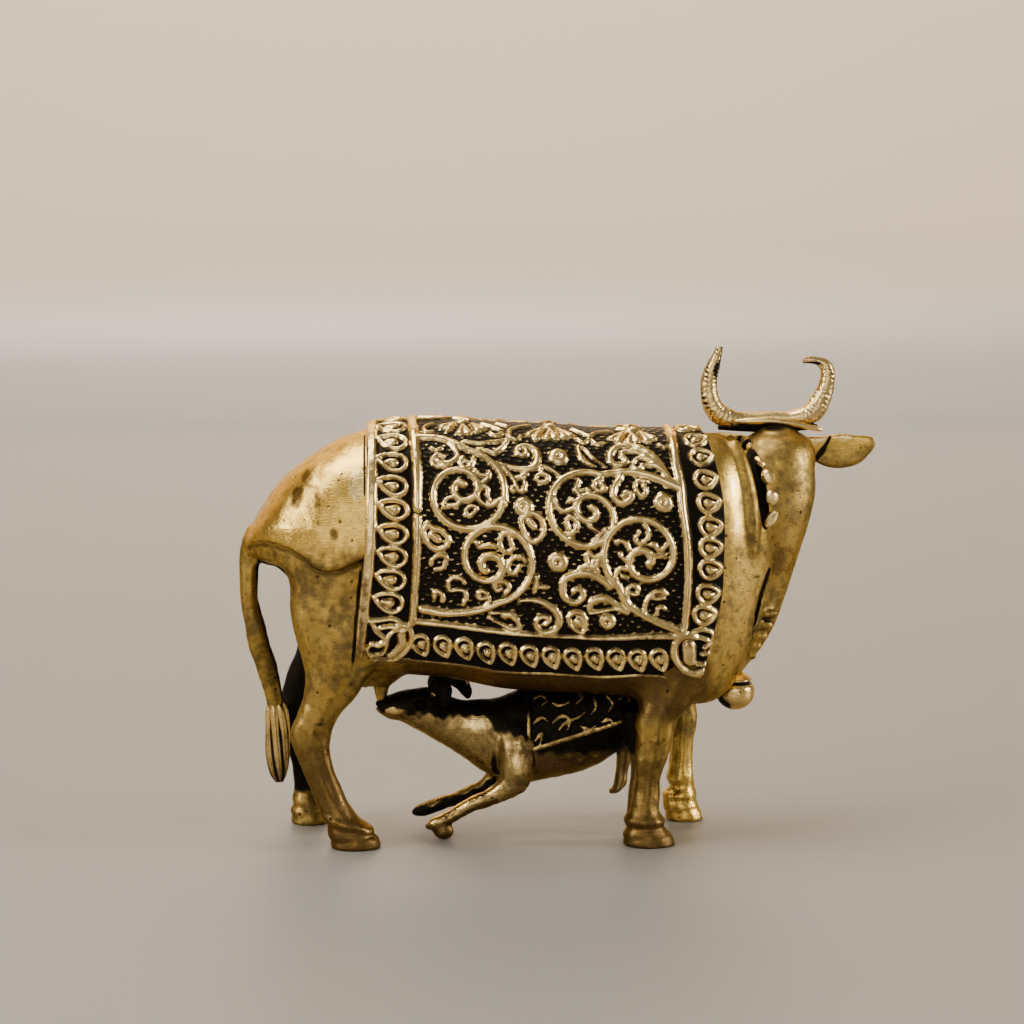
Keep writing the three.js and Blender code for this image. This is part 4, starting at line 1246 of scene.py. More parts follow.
@dataclass
class Cow:
    """The cow's barrel, neck, head, legs, tail and udder, flowed together.

    Attributes:
        leg_blend, neck_blend, head_blend, tail_blend: How widely each joint is rounded off.
        hip_step: Height of the lip where the rump ends over the thigh.
    """

    leg_blend: float = 2.2
    neck_blend: float = 1.3
    head_blend: float = 1.4
    tail_blend: float = 0.7
    hip_step: float = 0.8

    def wax(self) -> WaxBlock:
        """Melts the forms together.

        Returns:
            The block, its planes closest where the forms are smallest.
        """
        block = WaxBlock(
            planes((-41, -21, 0.31), (-21, 8, 0.62), (8, 22, 0.33), (22, 34, 0.26)),
            planes((-13.2, 9, 0.315), (9, 17, 0.29)),
            planes((-0.4, 6, 0.26), (6, 21, 0.35), (21, 32, 0.44), (32, 40, 0.3), (40, 53, 0.28)),
        )
        block.join(BARREL.distance, (-41, -14, 14), (29, 14, 54), 0.01)
        block.join(level_shape(NECK, 0.9), (12, -9, 17), (38, 11, 53), self.neck_blend)
        for table, slant in ((RIGHT_HIND, 0.9), (LEFT_HIND, 0.9), (RIGHT_FORE, 0.95), (LEFT_FORE, 0.95)):
            low, high = box_of(table[:, 1:3], 8)
            block.join(level_shape(table, slant), (*low, -1), (*high, 46), self.leg_blend)
        block.join(level_shape(UDDER), (-31, -7, 14), (-15, 7, 28), 2.0)
        for teat in TEATS:
            block.join(level_shape(teat), (-27, -3, 14), (-19, 6, 23), 0.6)
        block.join(path_shape(spline(HEAD, 4), FORWARD), (21, -5, 36), (35, 18, 54), self.head_blend)
        block.join(path_shape(spline(TAIL, 3), LEFTWARD), (-41, -6, 13), (-32, 8, 43), self.tail_blend)
        for shape in (self.shape_face, self.shape_rump, self.shape_neck, self.shape_hooves, self.shape_shins):
            shape(block)
        block.stand()
        return block

    @staticmethod
    def shape_face(block: WaxBlock) -> None:
        """Eyes with their lids, cheeks, nostrils and mouth on the head, which looks down to her left.

        Args:
            block: What the forms are melted into.
        """
        for s in (-1, 1):
            x = 28.2 + s * 3.6
            low, high = (x - 3, 3, 44), (x + 3, 11, 51)
            block.carve(ball_shape((x + s * 0.2, 6.7, 47.3), (0.75, 1.5, 1.0)), low, high, 0.25)
            block.join(ball_shape((x - s * 0.15, 6.7, 47.3), (0.8, 1.05, 0.68)), low, high, 0.1)
            for rise, thick in ((1.05, 0.3), (-0.95, 0.2)):
                lid = spline(np.array([
                    [x + s * 0.15, 5.3, 47.6, 0.2, 0.2], [x + s * 0.2, 6.6, 47.35 + rise, thick, thick],
                    [x, 8.2, 46.8, 0.2, 0.2],
                ]), 4)
                block.join(path_shape(lid, FORWARD), low, high, 0.2)
            nostril = ball_shape((28.5 + s * 1.5, 14.0, 42.2), (0.5, 0.55, 0.4))
            block.carve(nostril, (24, 12, 39), (33, 17, 45), 0.25)
            cheek = ball_shape((28.2 + s * 2.5, 8.2, 44.2), (1.5, 2.2, 1.5))
            block.join(cheek, (21, 2, 39), (35, 14, 49), 1.0)
        block.carve(path_shape(spline(COW_MOUTH, 4), FORWARD), (23, 10, 38), (34, 17, 43), 0.25)

    def shape_rump(self, block: WaxBlock) -> None:
        """The rump stands off the thigh by a lip, and its surface is a little uneven, as if hammered.

        Args:
            block: What the forms are melted into.
        """

        def step(x: Array, y: Array, z: Array) -> Array:
            """Lowers the surface below the lip, fading out down the thigh.

            Args:
                x, y, z: Places in millimetres.

            Returns:
                The change of the distance.
            """
            lip = np.interp(x, *HIP_LINE.T)
            below = smooth_step(0.25, -0.25, z - lip) * smooth_step(-11.0, -3.0, z - lip)
            return -self.hip_step * below * smooth_step(1.0, 3.0, np.abs(y)) * smooth_step(-21.0, -24.0, x)

        block.press((-41, -13, 22), (-21, 13, 42), step)

        def planed(x: Array, y: Array, z: Array) -> Array:
            """Hammered unevenness of the rump."""
            return 0.13 * wander(x, y, z, 2.6, 1.0) + 0.05 * wander(x, y, z, 0.9, 4.0)

        block.press((-41, -13, 20), (-20, 13, 54), planed)

    @staticmethod
    def shape_neck(block: WaxBlock) -> None:
        """Fold before the shoulder, deep gap behind the necklace, and the dewlap's groove and lumps.

        Args:
            block: What the forms are melted into.
        """
        for s in (-1, 1):
            mirror = np.array([1, -s, 1, 1, 1])
            fold, gap, crease = (spline(line * mirror, 4) for line in (NECK_FOLD, NECK_GAP, NECK_CREASE))
            block.join(path_shape(fold, FORWARD), (18, -9, 33), (30, 9, 53), 0.7)
            block.carve(path_shape(gap, FORWARD), (20, -9, 36), (30, 9, 53), 0.25)
            block.carve(path_shape(crease, FORWARD), (20, -7, 19), (30, 7, 37), 0.3)
            for x, z, long in KNOTS:
                ball = (x, s * (0.13 * z - 1.0), z)
                block.join(ball_shape(ball, (long, 0.8, 0.6)), (20, -7, 19), (30, 7, 33), 0.3)

    @staticmethod
    def shape_hooves(block: WaxBlock) -> None:
        """Coronet, growth rings and cleft of each hoof.

        Args:
            block: What the forms are melted into.
        """
        hooves = (
            (RIGHT_HIND, 3.0, -0.22, 0.3), (LEFT_HIND, 2.9, -0.2, 0.15), (RIGHT_FORE, 3.2, -0.02, 0.25),
            (LEFT_FORE, 3.5, -0.05, 0.12),
        )
        for table, height, slope, swell in hooves:
            cx, cy = table[0, 1:3]

            def rings(x: Array, y: Array, z: Array) -> Array:
                """Coronet and two slanting rings, and a nick between the claws.

                Args:
                    x, y, z: Places in millimetres.

                Returns:
                    The change of the distance.
                """
                up = z - slope * (x - cx)
                slanted = z - 0.16 * (x - cx) - 1.35
                coronet = swell * fade(up - height, 0.5) - 0.2 * fade(up - height + 0.9, 0.3)
                growth = -0.17 * fade(slanted, 0.22) - 0.05 * fade(up - 0.5, 0.14)
                front = smooth_step(0.8, 2.0, x - cx) * smooth_step(3.2, 2.2, z)
                return coronet + growth - 0.6 * fade(y - cy, 0.28) * front + 0.06 * wander(x, y, z, 0.6, 3.0)

            block.press((cx - 5, cy - 5, -1), (cx + 5, cy + 5, 6), rings)

    @staticmethod
    def shape_shins(block: WaxBlock) -> None:
        """Tendons down the shins and a faint crease at the knee of each leg.

        Args:
            block: What the forms are melted into.
        """
        for table in (RIGHT_HIND, LEFT_HIND, RIGHT_FORE, LEFT_FORE):
            low, high = box_of(table[:, 1:3], 3)

            def tendons(x: Array, y: Array, z: Array) -> Array:
                """Two shallow grooves down the side, and the crease.

                Args:
                    x, y, z: Places in millimetres.

                Returns:
                    The change of the distance.
                """
                across = x - table_at(table, z)[0]
                groove = fade(across - 0.75, 0.3) + 0.7 * fade(across + 0.8, 0.3)
                shin = smooth_step(4.5, 7.0, z) * smooth_step(21.0, 17.0, z)
                rough = 0.08 * wander(x, y, z, 1.2, 2.0) + 0.04 * wander(x, y, z, 0.5, 6.0)
                return -0.16 * groove * shin - 0.06 * fade(z - 12.0 - 0.4 * across, 0.3) + rough

            block.press((*low, 3.5), (*high, 22), tendons)

    def skin(self, block: WaxBlock) -> Skin:
        """The cow's surface with the marks that her finish reads.

        Args:
            block: Her forms, melted together.

        Returns:
            The surface.
        """
        skin = block.skin()
        p = skin.points
        x, y, z = p.T
        near, rear_end = y < 0, x < -20
        # Painted shade on the belly under the hem of the saddle cloth, darker and browner.
        belly = smooth_step(25.0, 22.5, z) * smooth_step(-21, -18, x) * smooth_step(20, 17, x)
        belly = belly * smooth_step(14.0, 18.5, z)
        # Blackening in recesses and along edges, with painted shade down the tail's inner edge, on the far
        # legs and on the belly.
        hollow = 1.25 * block.hollows(p, (0.4, 0.9, 2.2)) + self.edge_shade(p) + self.neck_shade(p)
        hollow += self.tail_shade(p) + self.far_shade(p) + spots(p, NICKS + FACE_SOOT) + 0.15 * belly
        # Painted shade under the lip where the rump ends over the thigh, and on the thigh below the rump; the
        # near legs are also darker towards the ground.
        under_lip = fade(z - np.interp(x, *HIP_LINE.T) + 0.55, 0.4) * (x < -22) * (np.abs(y) > 2)
        stain = spots(p, STAINS) + 0.58 * smooth_step(20, 7, z) * near + 0.4 * smooth_step(4.4, 3.4, z) * near
        stain += 0.75 * under_lip + belly + 0.24 * smooth_step(19, 22, x)
        stain += 0.2 * smooth_step(-21, -24, x) * smooth_step(36, 33, z) * (y < 3)
        # Painted highlights on the rump and the shoulder, and the rump's top painted lighter than the thigh
        # below the lip.
        polish = spots(p, PAINTED_HIGHLIGHTS) + 0.35 * smooth_step(-1, 2, y) * smooth_step(14, 8, z)
        polish += rear_end * (0.3 * smooth_step(36.5, 39, z) - 0.35 * smooth_step(36.5, 35.5, z))
        skin.marks = {"hollow": hollow, "stain": stain, "copper": spots(p, COPPER_BLUSH), "polish": polish}
        return skin

    @staticmethod
    def edge_shade(p: Array) -> Array:
        """Blackening on the hide along the edges of the saddle cloth.

        Args:
            p: Points of the hide.

        Returns:
            What it adds to their hollow.
        """
        x, y, z = p.T
        v = FLANK.depth(p)
        from_rear = x - np.interp(v, *REAR_EDGE.T)
        from_front = x - np.interp(v, *FRONT_EDGE.T)
        shade = fade(from_rear + 0.2, 0.15) * smooth_step(14.5, 13.0, v)
        shade += fade(from_rear + 0.15, 0.3) * smooth_step(21, 24, v) * smooth_step(34.5, 33, v)
        shade += 0.2 * fade(from_front - 0.2, 0.3) * (v < 37)
        return shade * (z > 15) * (np.abs(y) > 3)

    @staticmethod
    def neck_shade(p: Array) -> Array:
        """Blackening in the neck's gap and the dewlap's crease, by the distance to them, and under the horns.

        Args:
            p: Points of the hide.

        Returns:
            What it adds to their hollow.
        """
        shade = spots(p, NECK_SOOT)
        near = p[:, 0] > 19
        x, y, z = p[near].T
        for line, reach in ((NECK_GAP, 0.4), (NECK_CREASE, 0.35)):
            gap = path_shape(spline(line, 4), FORWARD)(x, -np.abs(y), z)
            shade[near] += 1.1 * smooth_step(reach, -0.1, gap)
        (top_x, top_z, _), (foot_x, foot_z, _) = KNOTS[0], KNOTS[-1]
        x, y, z = p.T
        row = smooth_step(foot_z - 0.8, foot_z, z) * smooth_step(top_z + 0.9, top_z, z)
        shade += 0.42 * row * fade(x - np.interp(z, (foot_z, top_z), (foot_x, top_x)), 1.1) * (x > 20)
        return shade - spots(p, tuple((0.6, (kx + 0.1, 0.0, kz), (0.8, 30.0, 0.4)) for kx, kz, _ in KNOTS))

    @staticmethod
    def tail_shade(p: Array) -> Array:
        """Painted shade down the inner edge of the tail.

        Args:
            p: Points of the hide.

        Returns:
            What it adds to their hollow.
        """
        x, y, z = p.T
        middle_x, middle_y = (np.interp(z, TAIL[::-1, 2], TAIL[::-1, c]) for c in (0, 1))
        on_tail = (np.abs(y - middle_y) < 2) & (z < 36) & (x < -33.5)
        return 0.7 * on_tail * smooth_step(0.5, 1.1, x - middle_x)

    @staticmethod
    def far_shade(p: Array) -> Array:
        """Painted shade on the inner side of the far legs, darkest on the far hind leg and its hoof.

        Args:
            p: Points of the hide.

        Returns:
            What it adds to their hollow.
        """
        x, y, z = p.T
        leg = smooth_step(25, 21, z) * smooth_step(3.8, 5.2, z) * (y > 3) * smooth_step(8.6, 7.2, y)
        hoof = smooth_step(5.2, 3.8, z) * (y > 3) * (x < -20)
        leg = leg * (0.95 * (x < -20) + 0.35 * (x > 10))
        return leg + hoof * (0.3 + 0.25 * wander(x, y, z, 0.8, 2.0))

    def build(self, block: WaxBlock) -> None:
        """Makes the cow's body a piece."""
        self.skin(block).piece("cow_body", HIDE_BRASS)


@dataclass
class HeadGear:
    """Horns, the pad and the band under them, and the ears.

    Attributes:
        rib_pitch: Spacing of the ribs along the horns.
        rib_depth: Their height, as a share of the horn's radius.
        poll: Where along the cow the crescent is at its lowest, and bare of ribs.
    """

    rib_pitch: float = 0.62
    rib_depth: float = 0.018
    poll: float = 27.2

    def horns(self) -> Skin:
        """One crescent from tip to tip, ribbed across: radius times 1 + depth sin(2 pi run / pitch).

        Returns:
            The crescent.
        """
        path = spline(HORN_CRESCENT, 14)
        steps = np.linalg.norm(np.diff(path[:, :3], axis=0), axis=1)
        run = np.concatenate([[0], np.cumsum(steps)])[:, None]
        from_poll = np.abs(path[:, :1] - self.poll)
        ribbed = smooth_step(2.5, 4.5, from_poll)

        def wave(turn: Array) -> Array:
            """Ribs that wander a little round the horn."""
            return np.sin(2 * np.pi * run / self.rib_pitch + 0.5 * np.sin(2 * turn))

        def ribs(share: Array, turn: Array) -> tuple[Array, Array]:
            """The ribs, with some roughness and none on the poll.

            Args:
                share: Way along the horn, 0 to 1; not used.
                turn: Angle round it.

            Returns:
                Widths across both ways.
            """
            rough = 0.04 * np.sin(5 * turn + 3 * run) * np.sin(2.3 * run)
            grown = 1 + ribbed * (self.rib_depth * wave(turn) + rough)
            return grown, grown

        def marks(share: Array, turn: Array) -> dict[str, Array]:
            """Black speckle between the ribs and under the poll, and black on the inner side of the tips.

            Args:
                share: Way along the horn, 0 to 1; not used.
                turn: Angle round it.

            Returns:
                The marks by name.
            """
            inner = smooth_step(0.1, 0.6, np.sin(turn + 0.3 * np.sin(1.7 * run)))
            near_tip = np.maximum(smooth_step(6.5, 2.0, run), smooth_step(run[-1] - 3.5, run[-1] - 1.5, run))
            under = smooth_step(0.25, -0.5, np.sin(turn)) * (1 - 0.85 * ribbed)
            speckle = 0.4 * np.sin(3 * turn + 7 * run) * np.sin(5.3 * run - 2 * turn)
            broken = 0.5 + 0.5 * np.sin(1.9 * run + 2 * turn)
            outer = 0.12 * smooth_step(0.1, -0.7, np.sin(turn)) * smooth_step(5.0, 7.5, from_poll)
            between = ribbed * (0.17 - 0.15 * wave(turn) * broken + speckle + outer)
            hollow = np.maximum(between + under + 0.8 * inner * near_tip, 0)
            return {"hollow": hollow, "polish": 0.3 + 0.3 * np.cos(turn - 2.6)}

        return swept(path, LEFTWARD, 26, marks, ribs)

    @staticmethod
    def ear(table: Array, side: Array) -> Skin:
        """Leaf-shaped ear: ellipses along a path whose near face is pressed in below an upper ridge.

        Args:
            table: Its path.
            side: The way that its face looks away from.

        Returns:
            The ear.
        """

        def cup(share: Array, turn: Array) -> tuple[Array, Array]:
            """Presses the face in, most at mid length.

            Args:
                share: Way along the ear, 0 to 1.
                turn: Angle round it.

            Returns:
                Widths across both ways.
            """
            facing = np.maximum(-np.cos(turn), 0)
            deep = np.sin(np.pi * np.clip(share, 0, 1)) ** 0.7
            return 1 - 0.85 * facing**1.5 * deep, 1.0

        def marks(share: Array, turn: Array) -> dict[str, Array]:
            """Dark notch at the root, painted shade in the cup and on the lower lobe, and the upper ridge and
            root rubbed bright and painted as highlights.

            Args:
                share: Way along the ear, 0 to 1.
                turn: Angle round it.

            Returns:
                The marks by name.
            """
            facing, upper = np.maximum(-np.cos(turn), 0), np.sin(turn)
            notch = fade(share - 0.3 - 0.08 * upper, 0.05) * smooth_step(-0.2, 0.5, facing)
            # Painted shade in the cup and on the lower lobe; painted highlights on the upper ridge and by the
            # root.
            cup_shade = 0.4 * fade(share - 0.55, 0.28) * smooth_step(0.5, 0.0, np.abs(upper + 0.15)) * facing
            lobe = 0.6 * smooth_step(0.1, -0.6, upper) * np.sin(np.pi * share)
            root = 1.2 * fade(share - 0.15, 0.08) * smooth_step(-0.2, 0.3, upper)
            bright = 0.1 + 0.75 * smooth_step(0.1, 0.6, upper) + root
            return {"hollow": 0.9 * notch + cup_shade, "stain": lobe, "polish": bright}

        return swept(spline(table, 8), side, 22, marks, cup)

    def build(self) -> None:
        """Makes the horns, the pad and band under them, and the ears pieces."""
        self.horns().piece("horns", HORN_BRASS)
        band = swept(spline(HORN_BAND, 8), LEFTWARD, 12, lambda share, turn: {"polish": 0.95})
        band.piece("horn_band", HORN_BRASS)
        pad = swept(spline(HORN_PAD, 8), LEFTWARD, 16, lambda share, turn: {"hollow": 1.0})
        pad.piece("horn_pad", HORN_BRASS)
        self.ear(RIGHT_EAR, LEFTWARD).piece("right_ear", HIDE_BRASS)
        self.ear(LEFT_EAR, unit(np.array([0.6, 0.8, 0.0]))).piece("left_ear", HIDE_BRASS)


@dataclass
class TailTuft:
    """Tuft of the tail, its hair in grooves that run down and round.

    Attributes:
        locks: How many locks go round it.
        depth: Depth of the grooves, as a share of its radius.
        twist: How far the locks turn on the way down, radians.
    """

    locks: int = 7
    depth: float = 0.13
    twist: float = 0.7

    def wave(self, share: Array, turn: Array) -> Array:
        """Nought in the grooves and one on the locks: |cos(locks turn / 2)|, the turn twisting down."""
        return np.abs(np.cos(self.locks * (turn + self.twist * share) / 2))

    def grown(self, share: Array, turn: Array) -> tuple[Array, Array]:
        """Factor of the radius, 1 + depth (2 wave - 1.2), for both half thicknesses."""
        grown = 1 + self.depth * (2 * self.wave(share, turn) - 1.2)
        return grown, grown

    def marks(self, share: Array, turn: Array) -> dict[str, Array]:
        """Black in the grooves and towards the tip, and a rubbed top.

        Args:
            share: Share of the way down.
            turn: Angle round.

        Returns:
            The finish's values.
        """
        top = smooth_step(0.45, 0.15, share)
        tip = 0.3 * smooth_step(0.6, 1.0, share)
        dark = 0.22 + 0.75 * (1 - self.wave(share, turn)) ** 2 - 0.3 * top + tip
        return {"hollow": dark, "polish": 0.1 + 0.6 * top}

    def build(self) -> None:
        """Makes the tuft a piece."""
        swept(spline(TUFT, 10), LEFTWARD, 64, self.marks, self.grown).piece("tail_tuft", CALF_BRASS)


@dataclass
class Relief:
    """Height of the ornament over places on a cloth; ridges and drops are pressed up from its ground.

    Attributes:
        x, v: Places.
        height: Height of the ornament there, mm.
    """

    x: Array
    v: Array
    height: Array = field(init=False)

    def __post_init__(self) -> None:
        """Starts flat."""
        self.height = np.zeros_like(self.x)

    def nearest(self, line: Array, reach: float) -> tuple[Array, Array, Array]:
        """Distance to a line, for the places within reach of its box.

        Args:
            line: Its points, as (x, v).
            reach: How far round its box the places are looked at.

        Returns:
            Mask of those places, their distance, and the share of the way along the line.
        """
        low, high = line.min(0) - reach, line.max(0) + reach
        mask = (self.x > low[0]) & (self.x < high[0]) & (self.v > low[1]) & (self.v < high[1])
        place = np.stack([self.x[mask], self.v[mask]], -1)[:, None]
        start, span = line[:-1], np.diff(line, axis=0)
        length = np.maximum((span**2).sum(1), TINY)
        t = np.clip(((place - start) * span).sum(-1) / length, 0, 1)
        gap = np.linalg.norm(place - start - t[..., None] * span, axis=-1)
        best = gap.argmin(1)
        rows = np.arange(len(gap))
        run = np.concatenate([[0], np.cumsum(np.sqrt(length))])
        along = (run[best] + t[rows, best] * np.sqrt(length)[best]) / run[-1]
        return mask, gap[rows, best], along

    def raise_to(self, mask: Array, height: Array) -> None:
        """Keeps the higher of the old and new height."""
        self.height[mask] = np.maximum(self.height[mask], height)

    def ridge(self, line: Array, widths: Widths, height: float, power: float = 2.3) -> None:
        """Presses up a ridge of height (1 - (gap / half width)^power)^(1 / power).

        Args:
            line: Its middle line, as (x, v).
            widths: Half width, or several spread along it.
            height: Its height.
            power: How square its cut is.
        """
        widths = np.atleast_1d(widths)
        mask, gap, along = self.nearest(line, widths.max())
        half = np.interp(along, np.linspace(0, 1, len(widths)), widths)
        self.raise_to(mask, height * np.clip(1 - (gap / half) ** power, 0, 1) ** (1 / power))

    def stroke(self, widths: Widths, places: tuple[Pair, ...], height: float) -> None:
        """Ridge on a smooth line through places."""
        self.ridge(spline(np.array(places), 6), widths, height)

    def groove(self, line: Array, half: float, depth: float) -> None:
        """Cuts a rounded groove by a share of the height there."""
        mask, gap, _ = self.nearest(line, half)
        self.height[mask] *= 1 - depth * np.sqrt(np.clip(1 - (gap / half) ** 2, 0, 1))

    def disc(self, middle: Pair, radius: float, height: float, hole: float = 0.3) -> None:
        """Presses up a rosette: a round-shouldered disc with a small hole in the middle.

        Args:
            middle: Its place, as (x, v).
            radius: Its radius.
            height: Its height.
            hole: Radius of its hole.
        """
        gap = np.hypot(self.x - middle[0], self.v - middle[1])
        mask = gap < radius
        flat = 0.45 * radius
        past_flat = ((gap[mask] - flat) / (radius - flat)).clip(0)
        self.raise_to(mask, height * np.sqrt(np.clip(1 - past_flat**2, 0, 1)))
        inner = gap < hole
        self.height[inner] *= smooth_step(0.55, 1.0, gap[inner] / hole)


def turned(points: Array, middle: Pair, angle: float) -> Array:
    """Flat points turned by an angle in degrees and moved to a middle."""
    c, s = math.cos(math.radians(angle)), math.sin(math.radians(angle))
    return points @ np.array([[c, s], [-s, c]]) + np.array(middle)


@dataclass(frozen=True)
class Drop:
    """Outlined drop with a smaller solid drop inside it.

    Attributes:
        length, width: Size of its outline's middle line.
        wall: Half width of the outline.
        core: Length and width of the solid drop.
        angle: Way that its tip points, in degrees from +x towards +v.
        bend: How far the tip is bent aside.
    """

    length: float
    width: float
    wall: float
    core: Pair
    angle: float
    bend: float

    def press(self, sheet: Relief, middle: Pair, height: float) -> None:
        """Presses the drop up; its outline is (cos t, 1.2 sin t |sin(t/2)|^0.7), with the tip on +x.

        Args:
            sheet: The cloth's relief.
            middle: Its place, as (x, v).
            height: Its height.
        """
        t = np.linspace(0, 2 * np.pi, 41)
        x = np.cos(t)
        y = 1.2 * np.sin(t) * np.abs(np.sin(t / 2)) ** 0.7
        outline = np.stack([x * self.length / 2, y * self.width / 2 + self.bend * ((1 + x) / 2) ** 2.5], -1)
        sheet.ridge(turned(outline, middle, self.angle), self.wall, height)
        long, half = self.core[0], self.core[1] / 2
        core = np.array([[half - long / 2, 0.0], [long / 2 - 0.15, self.bend * 0.25]])
        sheet.ridge(turned(core, middle, self.angle), (half, 0.15), height * 0.92)


REAR_DROP = Drop(3.6, 2.25, 0.27, (1.8, 1.3), 192, 0.55)
FRONT_DROP = Drop(2.85, 2.2, 0.27, (1.6, 1.2), -8, -0.4)
HEM_DROP = Drop(2.8, 1.95, 0.22, (1.3, 1.1), 62, 0.2)
LAST_DROP = Drop(2.7, 2.1, 0.25, (1.2, 1.15), 55, 0.3)


@dataclass(frozen=True)
class Scroll:
    """A spiral that closes in on its middle, led in by a stem.

    Attributes:
        middle: Where the spiral starts to turn about, as (x, v).
        radius: Its first radius.
        start, sweep: First angle and the angle it turns through, degrees.
        drift: How far the middle moves on the way in.
        stem: Places that lead into it.
        power: How fast it closes in.
        widths: Half widths along it.
    """

    middle: Pair
    radius: float
    start: float
    sweep: float
    drift: Pair
    stem: tuple[Pair, ...]
    power: float = 1.5
    widths: tuple[float, ...] = (0.52, 0.43, 0.4, 0.39, 0.39, 0.44)

    def line(self) -> Array:
        """Middle + drift t + radius (0.06 + 0.94 (1 - t)^power) (cos a, sin a), with a = start + sweep t.

        Returns:
            Points of the stem and the spiral, as (x, v).
        """
        t = np.linspace(0, 1, int(abs(self.sweep) / 7))
        a = np.radians(self.start + self.sweep * t)
        reach = self.radius * (0.06 + 0.94 * (1 - t) ** self.power)
        x = self.middle[0] + self.drift[0] * t + reach * np.cos(a)
        v = self.middle[1] + self.drift[1] * t + reach * np.sin(a)
        spiral = np.stack([x, v], -1)
        lead = spline(np.vstack([np.array(self.stem), spiral[0]]), 8)
        return np.vstack([lead[:-1], spiral])


SCROLLS = (
    Scroll((-12.1, 14.4), 6.1, -80, 770, (-0.1, -1.2), ((-17.4, 6.3), (-15.6, 6.4), (-13.8, 6.9))),
    Scroll(
        (-8.4, 21.7), 5.7, 82, -730, (-0.9, 1.5),
        ((-17, 28.4), (-14.2, 28.9), (-11.3, 28.7), (-9.2, 28.1)),
    ),
    Scroll((3.1, 16.2), 5.8, -72, -752, (0.6, -0.8), ((14.3, 11.9), (11.0, 10.7), (8.1, 10.2))),
    Scroll((10.1, 20.1), 5.4, 126, 610, (0.3, 1.5), ((14.8, 29.8), (11.0, 28.5), (8.2, 26.8)), 1.0),
)

